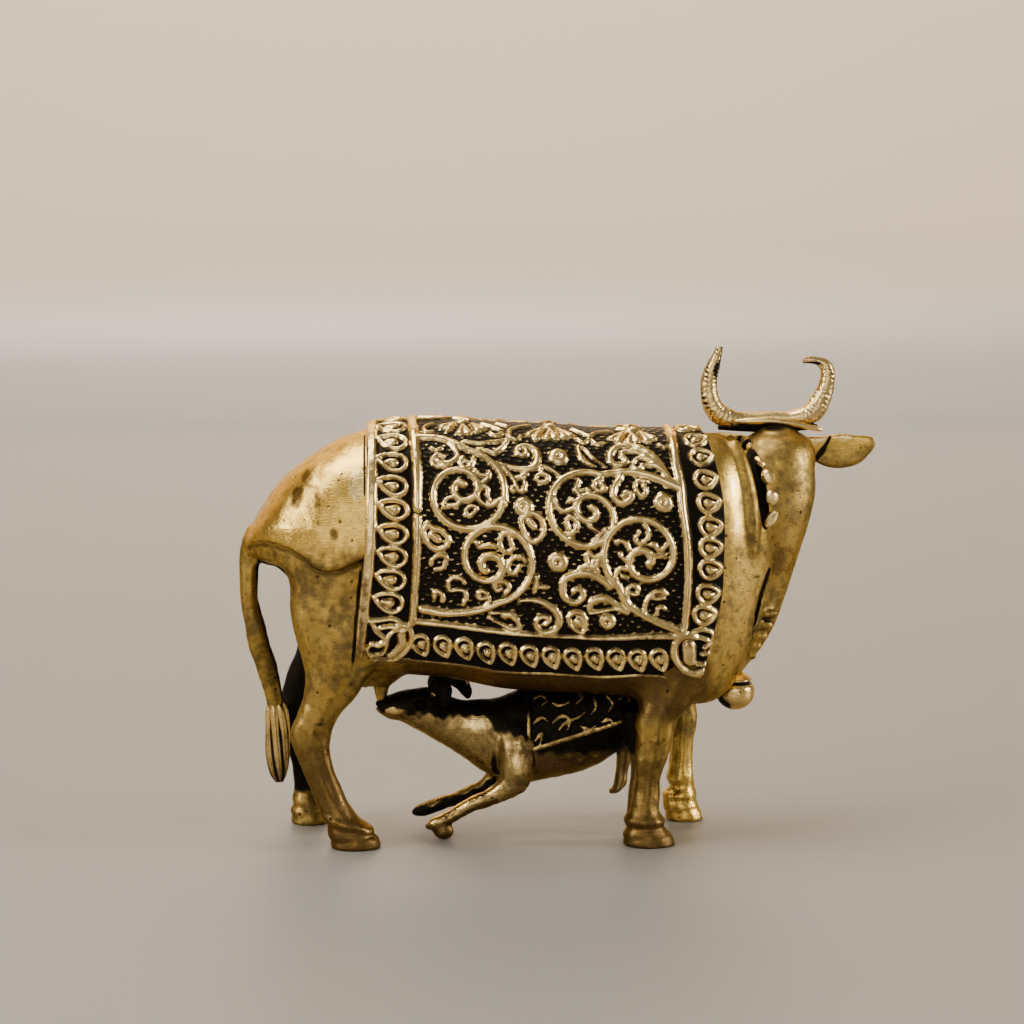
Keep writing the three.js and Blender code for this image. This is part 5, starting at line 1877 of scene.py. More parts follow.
# Strokes of the panel: half width, or several spread along it, and the places (x, v) it runs through.
STROKES: tuple[Stroke, ...] = (
    # Hooks and commas round the upper rear scroll.
    (0.3, ((-13.5, 7.3), (-12.8, 8.3), (-12.6, 9.3), (-13.3, 10.1), (-14.2, 10.3), (-15, 10))),
    (0.22, ((-14.3, 9.3), (-15, 9.1), (-15.6, 9.7), (-15.5, 10.5), (-14.6, 10.8), (-13.5, 10.5))),
    (0.25, ((-15.8, 8.1), (-15.2, 8.5), (-14.5, 8.2))),
    (0.27, ((-11.9, 9.4), (-12.2, 10.1), (-11.8, 10.8), (-11.1, 10.7), (-10.7, 10.1), (-10.6, 9.4))),
    (0.22, ((-11.8, 9.8), (-11.1, 10.2))),
    (0.25, ((-10.4, 11.1), (-10.6, 11.8), (-10.2, 12.4), (-9.5, 12.6), (-8.8, 12), (-8.7, 11.2))),
    (0.24, ((-10.2, 11.2), (-9.8, 11.8), (-9.2, 11.7))),
    (0.3, ((-9.7, 13.3), (-10.2, 14), (-10, 14.9), (-9.2, 15.5), (-8.3, 15.4), (-7.5, 14.7))),
    (0.28, ((-9.6, 13.2), (-9, 13.3), (-9, 14.1), (-8.8, 15))),
    (0.2, (
        (-14.4, 16), (-14.2, 15.1), (-13.5, 14.7), (-12.7, 14.8), (-12.5, 15.5), (-13.2, 15.7),
        (-14.3, 15.9),
    )),
    (0.2, ((-11.7, 16.9), (-11.6, 16.1), (-10.9, 15.7), (-10.3, 15.9), (-10.6, 16.4), (-11.3, 17))),
    (0.24, ((-11.8, 7), (-9.4, 7.1), (-6.2, 6.2))),
    ((0.1, 0.3, 0.38, 0.15), ((-10.2, 7.9), (-9.2, 8.2), (-8.1, 8.5), (-7.2, 7.8), (-6.3, 6.5))),
    # Small scroll and spray between the two upper ones.
    ((0.2, 0.3, 0.5, 0.45, 0.36, 0.3), (
        (-7.8, 9.9), (-6.8, 10.3), (-5.6, 10.6), (-4.3, 10.7), (-3.2, 10.3), (-2.8, 9.2), (-3, 8),
        (-4, 7.3), (-5, 7.5), (-5.3, 8.2), (-4.8, 8.8), (-4.1, 8.6), (-4.2, 8),
    )),
    (0.22, ((-7.2, 10.4), (-6.2, 11.5), (-5.7, 12.3), (-5.5, 13.1))),
    (0.25, ((-5.3, 11.8), (-4.6, 12), (-4.4, 12.8), (-4.7, 13.6), (-5.2, 13.5), (-5.5, 12.8))),
    (0.25, ((-6, 13.3), (-5.8, 13.7))), (0.25, ((-4.8, 11.6), (-4.1, 11.4))),
    (0.23, ((-1.5, 11.5), (-2.3, 11), (-2.4, 10.3), (-1.7, 10.4), (-0.8, 10.9), (-0.2, 11.4))),
    (0.23, ((-1.5, 11.6), (-2.4, 11.3), (-3, 11.7), (-2.7, 12.3), (-1.9, 12.3), (-1.5, 11.9))),
    ((0.19, 0.38, 0.38, 0.19), ((2.2, 7.1), (2.5, 8.3), (3.2, 9.2), (4.2, 9.6))),
    ((0.19, 0.27, 0.22, 0.12), ((2.2, 6.7), (3.1, 7.2), (4.2, 8.6), (5.6, 9.6))),
    # Feather in the upper front corner.
    ((0.25, 0.56, 0.62, 0.5, 0.42, 0.38), (
        (14, 11.4), (13, 10.5), (12, 8.7), (10.8, 7.4), (9.4, 6.5), (7.8, 6.3), (6.6, 7), (6.1, 8.3),
        (6.6, 9.2), (7.6, 9.2), (8.2, 8.7), (7.6, 8),
    )),
    (0.3, ((12.7, 10.1), (11.8, 9.3), (10.8, 8.2), (9.2, 7.3), (7.6, 7.4))),
    (0.29, ((13, 10.3), (11.9, 9.1), (10.8, 8.4), (9.6, 8.3), (9, 8.9), (9.1, 9.7), (9.8, 9.8), (10, 9.2))),
    (0.3, ((13.2, 10.5), (12.2, 9.6), (11.3, 9.2), (10.3, 9.3))),
    # Hooks and commas inside the upper front scroll.
    (0.35, ((2.2, 11.8), (1.9, 12.8))),
    (0.25, ((1.6, 13), (2.3, 13.7), (3.2, 13.5), (3.4, 12.8), (2.3, 13.1))),
    (0.27, ((5, 11.2), (4.2, 11.7), (4.1, 12.5), (4.7, 12.9), (5.5, 12.5), (4.9, 11.9))),
    ((0.4, 0.4, 0.3), (
        (7.3, 11), (6.6, 12.1), (6.4, 13.2), (6.9, 14.1), (7.8, 14.2), (8.6, 13.6), (8.6, 13.1),
        (7.9, 12.9), (7.6, 13.4),
    )),
    (0.27, ((10.5, 11.5), (9.6, 11.4), (9.1, 12), (9.4, 12.9), (10, 13.4), (10.4, 12.7), (10.1, 12))),
    (0.29, ((-0.9, 14.2), (-0.6, 15.2), (0.2, 15.8), (1.2, 15.5), (1.8, 14.9), (1.5, 14.3), (0.9, 14.6))),
    (0.3, (
        (0.1, 18.7), (1, 18.6), (1.7, 18), (1.9, 17.2), (1.4, 16.5), (0.8, 16.6), (0.6, 17.1), (0.8, 18),
    )),
    (0.25, ((3.3, 17.3), (4, 17.7), (4.7, 18))), ((0.4, 0.3), ((5.4, 17.7), (4.7, 18.4), (3.9, 19.2))),
    # The same inside the lower front scroll, and the sprig before it.
    (0.27, ((10.1, 16.9), (10.6, 17.5), (10.5, 18.4), (9.9, 19.1), (9.2, 19), (9, 18.6), (9.5, 17.8))),
    (0.28, ((10.9, 19.3), (11.4, 19.3), (11.8, 19.8), (12.3, 19.8), (12.8, 19.2))),
    (0.2, ((11.1, 20.5), (11.9, 20.7), (12.8, 20.3))),
    (0.25, ((6.6, 19.1), (7.2, 18.9), (8, 19.3), (8.2, 20))), (0.25, ((7.1, 20.5), (7.4, 21), (8.1, 21.2))),
    (0.25, ((6.7, 23.9), (6.6, 23), (7.1, 22.3), (8, 22.3))), (0.25, ((7.4, 23.2), (8, 23.4))),
    (0.25, ((8, 25.9), (8.1, 24.9), (8.7, 24.3), (9.3, 24.7), (9.3, 25.4), (8.6, 25.4))),
    (0.28, ((10.1, 27.5), (10.4, 26.3), (11.1, 25.3), (12.1, 24.9), (12.8, 25.2))),
    (0.25, ((11.1, 25.8), (11.7, 25.9), (12.4, 25.7))),
    (0.22, ((11.7, 27.9), (11.8, 27.1), (12.4, 26.9), (12.7, 27.1))),
    (0.25, ((3.2, 22), (3, 21.2), (3.3, 20.6), (3.9, 21), (4.4, 20.8), (5, 20.4))),
    (0.25, ((5, 20.6), (4.5, 21.2), (4.2, 22.1), (3.7, 22), (3.9, 21.5))),
    (0.25, ((2.2, 22.6), (3, 22.3), (4, 22.4), (4.4, 22.7))),
    ((0.38, 0.5, 0.38, 0.3), (
        (6, 24.6), (5.1, 23.9), (4, 23.3), (2.6, 23.2), (1.1, 23.6), (0.2, 24.4), (0.1, 25.8), (0.7, 26.7),
        (1.7, 26.9), (2.5, 26.3), (2.5, 25.4), (1.8, 25.2), (1.4, 25.6),
    )),
    ((0.19, 0.5, 0.5, 0.25, 0.15), (
        (3.3, 27.6), (3.7, 26.6), (4.7, 26.1), (5.8, 26.2), (7, 26.9), (8.1, 27.5),
    )),
    (0.22, ((3.5, 28), (4.7, 27.7), (6.5, 27.3), (8.1, 27.8))),
    # Drops, hooks and sprigs of the lower rear half.
    (0.29, (
        (-16.4, 17.9), (-16.8, 19), (-16.2, 20.4), (-15.1, 21.1), (-14, 20.6), (-13.8, 19.7), (-14.6, 18.8),
        (-15.6, 18.5), (-16.4, 17.9),
    )),
    ((0.42, 0.36), ((-15.8, 19.3), (-15, 19.9))),
    (0.22, (
        (-15.9, 22.9), (-15.8, 22.3), (-15.1, 21.8), (-14.1, 21.9), (-14.1, 22.5), (-14.5, 23.4),
        (-15.4, 23.5),
    )),
    (0.25, (
        (-11.8, 25.2), (-12.3, 24.6), (-13.2, 24.5), (-13.9, 25.3), (-13.6, 26.1), (-12.8, 26),
        (-11.9, 26.1), (-11.6, 26.9), (-12, 27.8),
    )),
    (0.25, ((-15.5, 27), (-15.5, 26.3), (-15, 26.2), (-14.5, 26.7), (-14.5, 27.4))),
    (0.27, ((-9.1, 26.3), (-9.6, 26), (-10.1, 26.2), (-10.1, 26.9), (-9.4, 26.9))),
    (0.22, ((-9.4, 27.9), (-8.9, 27.3), (-8.9, 26.7))),
    (0.29, (
        (-6.9, 26.2), (-6.4, 25.5), (-6.9, 24.8), (-7.8, 24.8), (-8.2, 25.3), (-7.9, 25.9), (-7.4, 25.6),
    )),
    (0.32, ((-10.4, 20.1), (-10.3, 20.2))),
    (0.25, ((-10.1, 20.7), (-9.3, 20.5), (-8.7, 20.3), (-8.1, 20.5))),
    (0.25, (
        (-5.8, 19), (-6.8, 18.8), (-7.4, 19.3), (-7.5, 20.3), (-7, 21), (-6.3, 21), (-6, 20.4),
        (-6.4, 19.3),
    )),
    (0.25, (
        (-4.4, 22.2), (-4.9, 21.7), (-5.9, 21.8), (-6.5, 22.6), (-6.5, 23.4), (-5.9, 23.8), (-5.4, 23.3),
        (-5.1, 22.7),
    )),
    (0.3, (
        (-4.9, 17.1), (-4.8, 18), (-4.2, 19.2), (-3.4, 19.8), (-2.4, 19), (-2.2, 17.8), (-2.7, 16.7),
        (-3.8, 16.3), (-4.9, 17.1),
    )),
    ((0.5, 0.4), ((-3.9, 17.3), (-3.4, 18))), ((0.5, 0.4), ((-7, 28.8), (-6.2, 28.8), (-5.5, 29.4))),
    (0.19, ((-8.9, 29.2), (-7.6, 29.9), (-6.4, 30.5), (-5.2, 30.6))),
    (0.22, ((-5.6, 29.1), (-5.2, 30.1), (-5.1, 30.6))), (0.15, ((-8.8, 28.7), (-7.2, 28.6))),
    ((0.16, 0.28, 0.44, 0.44, 0.38, 0.3, 0.28), (
        (-5.3, 27.1), (-3.9, 26.9), (-2.6, 27.1), (-1.5, 27.6), (-0.5, 28.5), (-0.3, 29.6), (-0.9, 30.6),
        (-2.2, 30.9), (-3.1, 30.1), (-2.9, 29.2), (-2.1, 28.9), (-1.5, 29.3), (-2, 29.9),
    )),
    (0.25, ((-3.3, 25.9), (-3, 24))), (0.25, ((-3.1, 25.3), (-1.8, 25.3))),
    # Leaves and curls between the flowers along the spine.
    (0.26, ((-8.5, 5.1), (-7.8, 5.6), (-6.9, 5))), (0.25, ((12.2, 5.9), (12.8, 6.4), (13.4, 6.2))),
    (0.28, ((-17.4, 1.4), (-14.8, 0.8), (-12.9, 0), (-11, 1))),
    (0.28, ((-9.4, 2.6), (-7.9, 3.7), (-7.1, 4.3))), (0.26, ((-7.6, 2.1), (-6.3, 3.1))),
    (0.28, ((-6.2, 5.4), (-6, 4.1), (-4.9, 3.2), (-3.6, 2.5))),
    (0.28, ((3.7, 4.7), (4.7, 3.4), (6.6, 2.9))), (0.28, ((7.5, 1.4), (10, 2.2))),
    (0.26, ((1.7, 2.8), (3.5, 4.3))), (0.25, ((2.2, 5.3), (2.9, 6), (3.9, 5.3), (4.6, 6.1), (5.5, 5.7))),
    (0.25, ((-6.2, 5.7), (-5.5, 6.3), (-4.9, 6), (-4.8, 5.4))),
    (0.26, ((-15.5, 3.4), (-16.2, 3.8), (-16.6, 4.5), (-16.4, 5.3), (-15.6, 5.3))),
)

# The lower corners: the rear one with its last drop and a paisley, the front one with an open ring.
CORNER_STROKES: tuple[Stroke, ...] = (
    (0.27, ((-23.4, 29.3), (-22.4, 29.5), (-20.9, 29.4), (-20, 29.7), (-19.6, 30.1))),
    (0.27, ((-23.2, 29.6), (-22.6, 30.9), (-21.6, 31.8))),
    (0.27, ((-22.1, 30.5), (-20.8, 30.4), (-20.1, 30.7))),
    (0.3, (
        (-20.1, 30.4), (-19.1, 30.3), (-18.4, 31.2), (-18.4, 32.7), (-19.1, 34), (-20.4, 35), (-21.9, 35.4),
        (-22.9, 35),
    )),
    (0.25, ((-19.1, 31), (-20.4, 31), (-21.2, 32), (-21.4, 33.2), (-21.9, 34.1), (-22.9, 34.1))),
    ((0.5, 0.5, 0.3), ((-19.5, 31.6), (-19.5, 33), (-20.4, 34), (-21.1, 34.4))),
    ((0.25, 0.25, 0.4), (
        (-22.8, 35), (-23.4, 34.2), (-23.7, 33.2), (-23.2, 32.5), (-22.4, 32.8), (-21.7, 32.5),
    )),
    ((0.42, 0.48, 0.42), (
        (16.6, 30.2), (15.9, 30.1), (14.9, 30.4), (14, 31.6), (14.1, 33.3), (15.1, 34.7), (16.5, 35),
        (17.9, 34.4),
    )),
    ((0.85, 0.8), ((15.8, 31.5), (15.9, 33.3))), (0.25, ((17.1, 30.2), (18.2, 30.3))),
    (0.25, ((16.4, 29.5), (17.5, 29.1), (18.7, 29.3), (18.8, 30.3), (17.7, 31.4))),
    (0.25, ((17.4, 32.3), (18.2, 31.9), (19.1, 31.4))), (0.25, ((16.8, 33.7), (18.2, 33.4))),
)

# Rosettes: x, v, radius.
ROSETTES = ((-0.2, 8.7, 1.25), (-4.6, 15.5, 1.2), (-0.5, 22.1, 1.25), (12.5, 14.0, 1.2), (5.6, 28.9, 1.05))

# Flowers along the spine: the heart, then its three petals on this flank.
FLOWERS = (
    ((-11.8, 2), ((-13.8, 4.3), (-11.7, 5.2), (-9.8, 4.2))),
    ((-1.1, 2), ((-3.1, 5.2), (-1, 5.3), (0.9, 4.8))), ((9.1, 2), ((7.1, 4.8), (9.1, 5.1), (11.1, 4.8))),
)

# Middles of the border's drops: x, v.
REAR_DROPS = (
    (-20.8, 0.2), (-20.7, 3.8), (-20.6, 6.9), (-20.6, 10), (-20.6, 13.1), (-20.5, 16), (-20.6, 19),
    (-20.7, 21.8), (-20.9, 24.6), (-21.2, 27.4),
)
FRONT_DROPS = (
    (16.4, 1.2), (17.1, 4.6), (17.6, 7.4), (18, 10.4), (18.3, 13.3), (18.5, 16.2), (18.5, 18.8),
    (18.5, 21.5), (18.2, 24.6), (17.8, 27.3),
)
HEM_DROP_DEPTHS = (33.1, 33.3, 33.5, 33.9, 33.9, 34.1, 34.2, 34.2, 33.9, 33.8, 33.9, 33.7)

REAR_BAR = (
    (-18.1, -0.8), (-17.8, 6.7), (-17.5, 11.1), (-17.5, 14.9), (-17.6, 19.8), (-17.8, 24.7), (-18.2, 30.2),
)
FRONT_BAR = (
    (13.8, -0.8), (14, 3.6), (14.2, 8.2), (14.7, 11.5), (14.9, 14.6), (15.4, 18.2), (15.6, 21.8),
    (15.5, 25.6), (15.1, 30),
)
LOW_BAR = ((-18.2, 29.9), (-9.9, 30.8), (-1.4, 31.3), (7.1, 30.9), (14.6, 30.4))
HEM_RIM = (
    (-25, 34.6), (-19.4, 35.1), (-16.9, 35.5), (-9.9, 36.2), (-6.5, 36.6), (4, 36.5), (10, 36), (14.5, 36),
    (17.5, 35.3),
)


@dataclass
class SaddleCloth:
    """The ornamented cloth over the cow's back: each flank is one closed sheet with its relief.

    Attributes:
        ground: How far the blackened ground stands off the barrel.
        root: How far inside the barrel its hidden face lies.
        relief: Height of the scrolls above the ground.
        pitch: Spacing of the points.
        hem: Depth of the hem at the corners, and how far it sags between them.
        hem_pitch: Spacing of the drops along the hem.
        rib: Spacing, dash length and height of the ribs on the panel's ground.
        coarse: How many steps of the face's grid one step of the hidden face spans.
    """

    ground: float = 0.42
    root: float = -0.9
    relief: float = 0.5
    pitch: float = 0.15
    hem: Pair = (35.5, 2.0)
    hem_pitch: float = 2.66
    rib: Triple = (0.66, 1.15, 0.17)
    coarse: int = 6

    def places(self) -> tuple[Array, Array]:
        """Places on the cloth, by shares of the way down to the hem and from the rear to the front edge.

        Returns:
            Grids of x and v.
        """
        rows, columns = int(38 / self.pitch), int(44 / self.pitch)
        down = np.linspace(0, 1, rows)[:, None]
        share = np.linspace(0, 1, columns)[None, :]
        v = down * (self.hem[0] + self.hem[1] * np.sin(np.pi * share))
        rear = np.interp(v, *spline(REAR_EDGE, 4).T)
        front = np.interp(v, *spline(FRONT_EDGE, 4).T)
        return rear + (front - rear) * share, v

    def rims(self, sheet: Relief) -> None:
        """Broad rear rim, hem rim and the bars of the inner frame.

        Args:
            sheet: The cloth's relief.
        """
        v = np.linspace(-1, 36.5, 60)
        rear = np.interp(v, *spline(REAR_EDGE, 4).T)
        sheet.ridge(np.stack([rear + 0.62, v], -1), 0.64, self.relief, 4.0)
        sheet.stroke(0.2, HEM_RIM, self.relief * 0.55)
        sheet.stroke((0.6, 0.6, 0.54, 0.45, 0.42), REAR_BAR, self.relief)
        sheet.stroke((0.56, 0.54, 0.5, 0.45, 0.42), FRONT_BAR, self.relief)
        sheet.stroke((0.36, 0.36, 0.34, 0.2, 0.4, 0.4), LOW_BAR, self.relief * 0.95)
        sheet.groove(np.array([[-18.4, 16.5], [-16.8, 16.7]]), 0.3, 0.9)

    def borders(self, sheet: Relief) -> None:
        """Rows of drops, with tips to the rear, to the front and down, and the two corners below.

        Args:
            sheet: The cloth's relief.
        """
        for middle in REAR_DROPS:
            REAR_DROP.press(sheet, middle, self.relief)
        for middle in FRONT_DROPS:
            FRONT_DROP.press(sheet, middle, self.relief)
        for n, v in enumerate(HEM_DROP_DEPTHS):
            HEM_DROP.press(sheet, (-17.05 + self.hem_pitch * n, v), self.relief)
        for widths, places in CORNER_STROKES:
            sheet.stroke(widths, places, self.relief)

    def petal(self, sheet: Relief, heart: Array, middle: Array) -> None:
        """Petal with two round lobes, on a stalk from the flower's heart.

        Args:
            sheet: The cloth's relief.
            heart: Middle of the flower, as (x, v).
            middle: Middle of the petal.
        """
        out = unit(middle - heart)
        across = np.array([-out[1], out[0]])
        for s in (-1, 1):
            lobe = np.array([heart + 1.5 * out, middle + 0.5 * s * across + 0.25 * out])
            sheet.ridge(lobe, (0.2, 0.34, 0.56), self.relief)

    def panel(self, sheet: Relief) -> None:
        """Scrolls, strokes, rosettes and the flowers along the spine.

        Args:
            sheet: The cloth's relief.
        """
        for scroll in SCROLLS:
            sheet.ridge(scroll.line(), scroll.widths, self.relief)
        for widths, places in STROKES:
            sheet.stroke(widths, places, self.relief * 0.9)
        for x, v, radius in ROSETTES:
            sheet.disc((x, v), radius, self.relief)
        LAST_DROP.press(sheet, (2.1, 29.3), self.relief)
        for heart, petals in FLOWERS:
            sheet.disc(heart, 0.8, self.relief)
            for middle in petals:
                self.petal(sheet, np.array(heart), np.array(middle))

    def ribs(self, x: Array, v: Array) -> Array:
        """Height of the ribs on the panel's ground: wavy rows of short dashes.

        Args:
            x, v: Places.

        Returns:
            The height there.
        """
        spacing, dash, height = self.rib
        row = v / spacing + 0.22 * np.sin(1.3 * x + 0.4 * v) + 0.12 * np.sin(3.1 * x - v)
        gap = np.cos(2 * np.pi * x / dash + 2.4 * np.floor(row) + 0.8 * np.sin(1.7 * x))
        crest = np.clip(np.cos(2 * np.pi * (row - np.floor(row) - 0.5)), 0, 1) ** 0.7
        inside = smooth_step(-17.6, -17.0, x) * smooth_step(15.2, 14.6, x) * smooth_step(30.9, 30.4, v)
        return height * crest * (0.66 + 0.34 * gap) * inside

    def ornament(self, x: Array, v: Array) -> Array:
        """Height of the relief at places on the cloth, above the ribbed ground of its panel.

        Args:
            x, v: Places.

        Returns:
            The height there.
        """
        sheet = Relief(x, v)
        self.rims(sheet)
        self.borders(sheet)
        self.panel(sheet)
        return np.maximum(sheet.height, self.ribs(x, v)) * (1 - 0.07 * wander(x, v, 0 * x, 0.8, 3.0))

    def marks(self, x: Array, v: Array, height: Array, below: Array) -> dict[str, Array]:
        """Values that the finish reads: black ground, reddish and worn places, and painted shade on the
        flanks of the ridges.

        Args:
            x, v: Places.
            height: Height of the relief there.
            below: How far they lie under the hem rim, 0 to 1.

        Returns:
            The values by their names.
        """
        crest = 0.62 * smooth_step(0.04, 0.11, height)
        shade = (1 - crest) * (1 - smooth_step(0.12, 0.24, height)) * (1 - 0.75 * below)
        copper = 0.4 * fade(x - 15.5, 1.6) * smooth_step(20, 25, v) * smooth_step(32, 30, v)
        copper += 0.4 * fade(v - 31.2, 0.9) * smooth_step(-8, 0, x)
        copper += 0.6 * np.exp(-(((x - 4.6) ** 2 + (v - 18.1) ** 2) / 1.2))
        # Painted shade: the flanks of the ridges are coloured brown.
        flank = 0.62 * (1 - smooth_step(0.2, 0.42, height)) * (1 - below)
        low = 0.3 * smooth_step(22, 34, v) + 0.4 * fade(x - np.interp(v, *REAR_EDGE.T) - 0.5, 0.5)
        dulled = 0.3 * fade(x + 17.6, 0.8) * smooth_step(17, 20, v)
        stain = np.maximum(np.maximum(flank, dulled), low) + 0.55 * below
        worn = 0.25 + 0.3 * smooth_step(26, 8, v) + 0.35 * wander(x, v, 0 * x, 2.2, 1.0) - dulled
        return {"hollow": shade, "copper": copper, "polish": np.maximum(worn, 0), "stain": stain}

    @staticmethod
    def softened(height: Array) -> Array:
        """Height with each place half way to the mean of its neighbours, one way and then the other.

        Args:
            height: Heights over a grid.

        Returns:
            The softened heights.
        """
        for axis in (0, 1):
            rows = np.swapaxes(height, 0, axis)
            inner = (rows[:-2] + 2 * rows[1:-1] + rows[2:]) / 4
            height = np.swapaxes(np.concatenate([rows[:1], inner, rows[-1:]]), 0, axis)
        return height

    def half(self, side: Side) -> Skin:
        """One flank's sheet: its ornamented face, and under it the same places pressed into the barrel.

        The hidden face is coarser than the other, and its rim is laced to the fine border.

        Args:
            side: Which flank.

        Returns:
            The closed sheet with its marks.
        """
        x, v = self.places()
        rows, columns = x.shape
        count = rows * columns
        height = self.softened(self.ornament(x, v))
        rim = np.interp(x, *spline(np.array(HEM_RIM), 4).T)
        below = smooth_step(0.1, 0.4, v - rim)
        lift = self.ground * (1 - 0.7 * smooth_step(0.0, 1.0, v - rim))
        angle = side.value * FLANK.angle(x, v)
        face = BARREL.point(x, angle, lift + height)
        hidden = BARREL.point(x, angle, self.root)

        border = grid_border(rows, columns)
        down = np.unique(np.r_[0 : rows : self.coarse, rows - 1])[1:-1]
        along = np.unique(np.r_[0 : columns : self.coarse, columns - 1])[1:-1]
        middle = hidden[down][:, along]
        edge = count + np.arange(len(border))
        inner = edge[-1] + 1 + np.arange(middle.shape[0] * middle.shape[1]).reshape(middle.shape[:2])
        wall = np.stack([border, edge, np.roll(edge, -1), np.roll(border, -1)], -1)
        under = inner[0, 0] + grid_faces(*middle.shape[:2], False)[:, ::-1]
        quads = np.vstack([grid_faces(rows, columns, False), wall, under])
        near = inner[
            np.clip(np.searchsorted(down, border // columns + self.coarse // 2) - 1, 0, len(down) - 1),
            np.clip(np.searchsorted(along, border % columns + self.coarse // 2) - 1, 0, len(along) - 1),
        ]
        tris = self.lace(edge, near)
        points = np.vstack([face.reshape(-1, 3), hidden.reshape(-1, 3)[border], middle.reshape(-1, 3)])
        buried = np.zeros(len(points) - count)
        marks = {
            name: np.concatenate([mark.ravel(), buried + (name == "hollow")])
            for name, mark in self.marks(x, v, height, below).items()
        }
        if side is Side.LEFT:
            quads, tris = quads[:, ::-1], tris[:, ::-1]
        return Skin(points, quads, tris, marks).outward()

    @staticmethod
    def lace(rim: Array, near: Array) -> Array:
        """Triangles that join the fine rim of the hidden face to its coarse middle.

        Each rim edge is joined to the nearest point of the middle's own edge, and each edge of the
        middle to the rim point where the nearest point changes.

        Args:
            rim: Numbers of the rim's points, in order round it.
            near: Number of the middle's point nearest to each.

        Returns:
            The triangles.
        """
        ahead, following = np.roll(rim, -1), np.roll(near, -1)
        fan = np.stack([rim, near, ahead], -1)
        turn = np.stack([ahead, near, following], -1)[near != following]
        return np.vstack([fan, turn])

    def build(self) -> None:
        """Makes each flank of the cloth a piece."""
        for side in Side:
            self.half(side).piece(f"saddle_cloth_{side.name.lower()}", CLOTH_BRASS)


# Beads down the neck: x, z, half length, half width and lean in degrees.
BEADS = (
    (24.2, 49, 0.5, 0.4, 30), (25.15, 47.35, 0.95, 0.55, -55), (26.05, 45.6, 1.05, 0.95, -20),
    (26.5, 43.1, 1, 0.9, 0), (26.35, 40.5, 1.25, 0.7, 35),
)

# The bell from the knob down: height from its middle, radius.
BELL = np.array([
    [3.3, 0.2], [3.15, 0.6], [2.8, 0.75], [2.5, 0.6], [2.35, 0.9], [2.05, 1.5], [1.6, 2], [1.4, 2.05],
    [1.15, 1.85], [0.9, 2.15], [0.5, 2.4], [0, 2.45], [-0.7, 2.38], [-1.4, 2.05], [-2, 1.45], [-2.4, 0.6],
])


@dataclass
class Necklace:
    """Flat beads down each side of the neck, and the bell under the dewlap.

    Attributes:
        flat: Half thickness of the beads at most.
        reach: How far from the neck's middle its surface is looked for.
        bell_middle: Place of the bell.
    """

    flat: float = 0.62
    reach: float = 9.0
    bell_middle: Triple = (22.6, -0.4, 18.15)

    @staticmethod
    def ellipsoid(middle: Array, axes: Array) -> Skin:
        """Closed ellipsoid: middle + axes (sin(a) cos(b), sin(a) sin(b), cos(a)).

        Args:
            middle: Its middle.
            axes: Its three half axes, one a row.

        Returns:
            The bright ellipsoid.
        """
        a = np.linspace(0.12, np.pi - 0.12, 8)[:, None]
        b = np.linspace(0, 2 * np.pi, 10, endpoint=False)[None, :]
        ball = np.stack(np.broadcast_arrays(np.sin(a) * np.cos(b), np.sin(a) * np.sin(b), np.cos(a)), -1)
        return closed_tube(middle + ball @ axes, {"hollow": 0.0, "polish": 1.0})

    def strand(self, block: WaxBlock) -> Skin:
        """Beads set on the neck, found by moving out from its middle to its surface.

        Args:
            block: The cow's forms.

        Returns:
            All the beads as one surface.
        """
        skins = []
        run = np.linspace(0, self.reach, 181)
        for s, (x, z, tall, wide, lean) in product((-1, 1), BEADS):
            line = np.stack([np.full_like(run, x), s * run, np.full_like(run, z)], -1)
            middle = line[np.argmax(block.read(line) > 0)]
            out = unit(block.slopes(middle[None])[0] * np.array([1, 1, 0.4]))
            turn = math.radians(lean)
            upright = np.array([math.sin(turn), 0, math.cos(turn)])
            up = unit(upright - (out @ upright) * out)
            axes = np.stack([np.cross(up, out) * wide, out * min(wide, self.flat), up * tall])
            skins.append(self.ellipsoid(middle, axes))
        return Skin.together(skins)

    def bell(self) -> Skin:
        """Round bell turned from radii down its axis: a knob, a groove under the crown, a full round belly.

        Returns:
            The bell.
        """
        x, y, z = self.bell_middle
        profile = spline(BELL, 5)
        up, radius = profile[:, :1], profile[:, 1:]
        turn = np.linspace(0, 2 * np.pi, 40, endpoint=False)
        round_it = (x + radius * np.cos(turn), y + radius * np.sin(turn), z + up)
        rings = np.stack(np.broadcast_arrays(*round_it), -1)
        band = fade(up - 1.15, 0.25) + 0.6 * fade(up - 2.5, 0.3)
        # Painted shade on the bell's rear side, under the cow's chest.
        shaded_side = 0.75 * smooth_step(0.2, 0.75, -np.cos(turn) + 0.15 * np.sin(3 * up))
        return closed_tube(rings, {"hollow": 0.05 + band + shaded_side, "polish": 0.6})

    def build(self, block: WaxBlock) -> None:
        """Makes the strand and the bell pieces."""
        self.strand(block).piece("necklace_beads", HORN_BRASS, 15)
        self.bell().piece("bell", CALF_BRASS)


# Edge above which the calf is painted dark, as shade under the cow's belly: x, z.
CALF_SHADE_EDGE = np.array([
    [-24, 16.6], [-20, 16.2], [-16, 16], [-13, 16], [-10.9, 15.4], [-8, 14.2], [-6.1, 13.5], [-3.5, 13.4],
    [-2.5, 10.5], [4, 10.2], [9, 10.5], [14, 10.5],
])

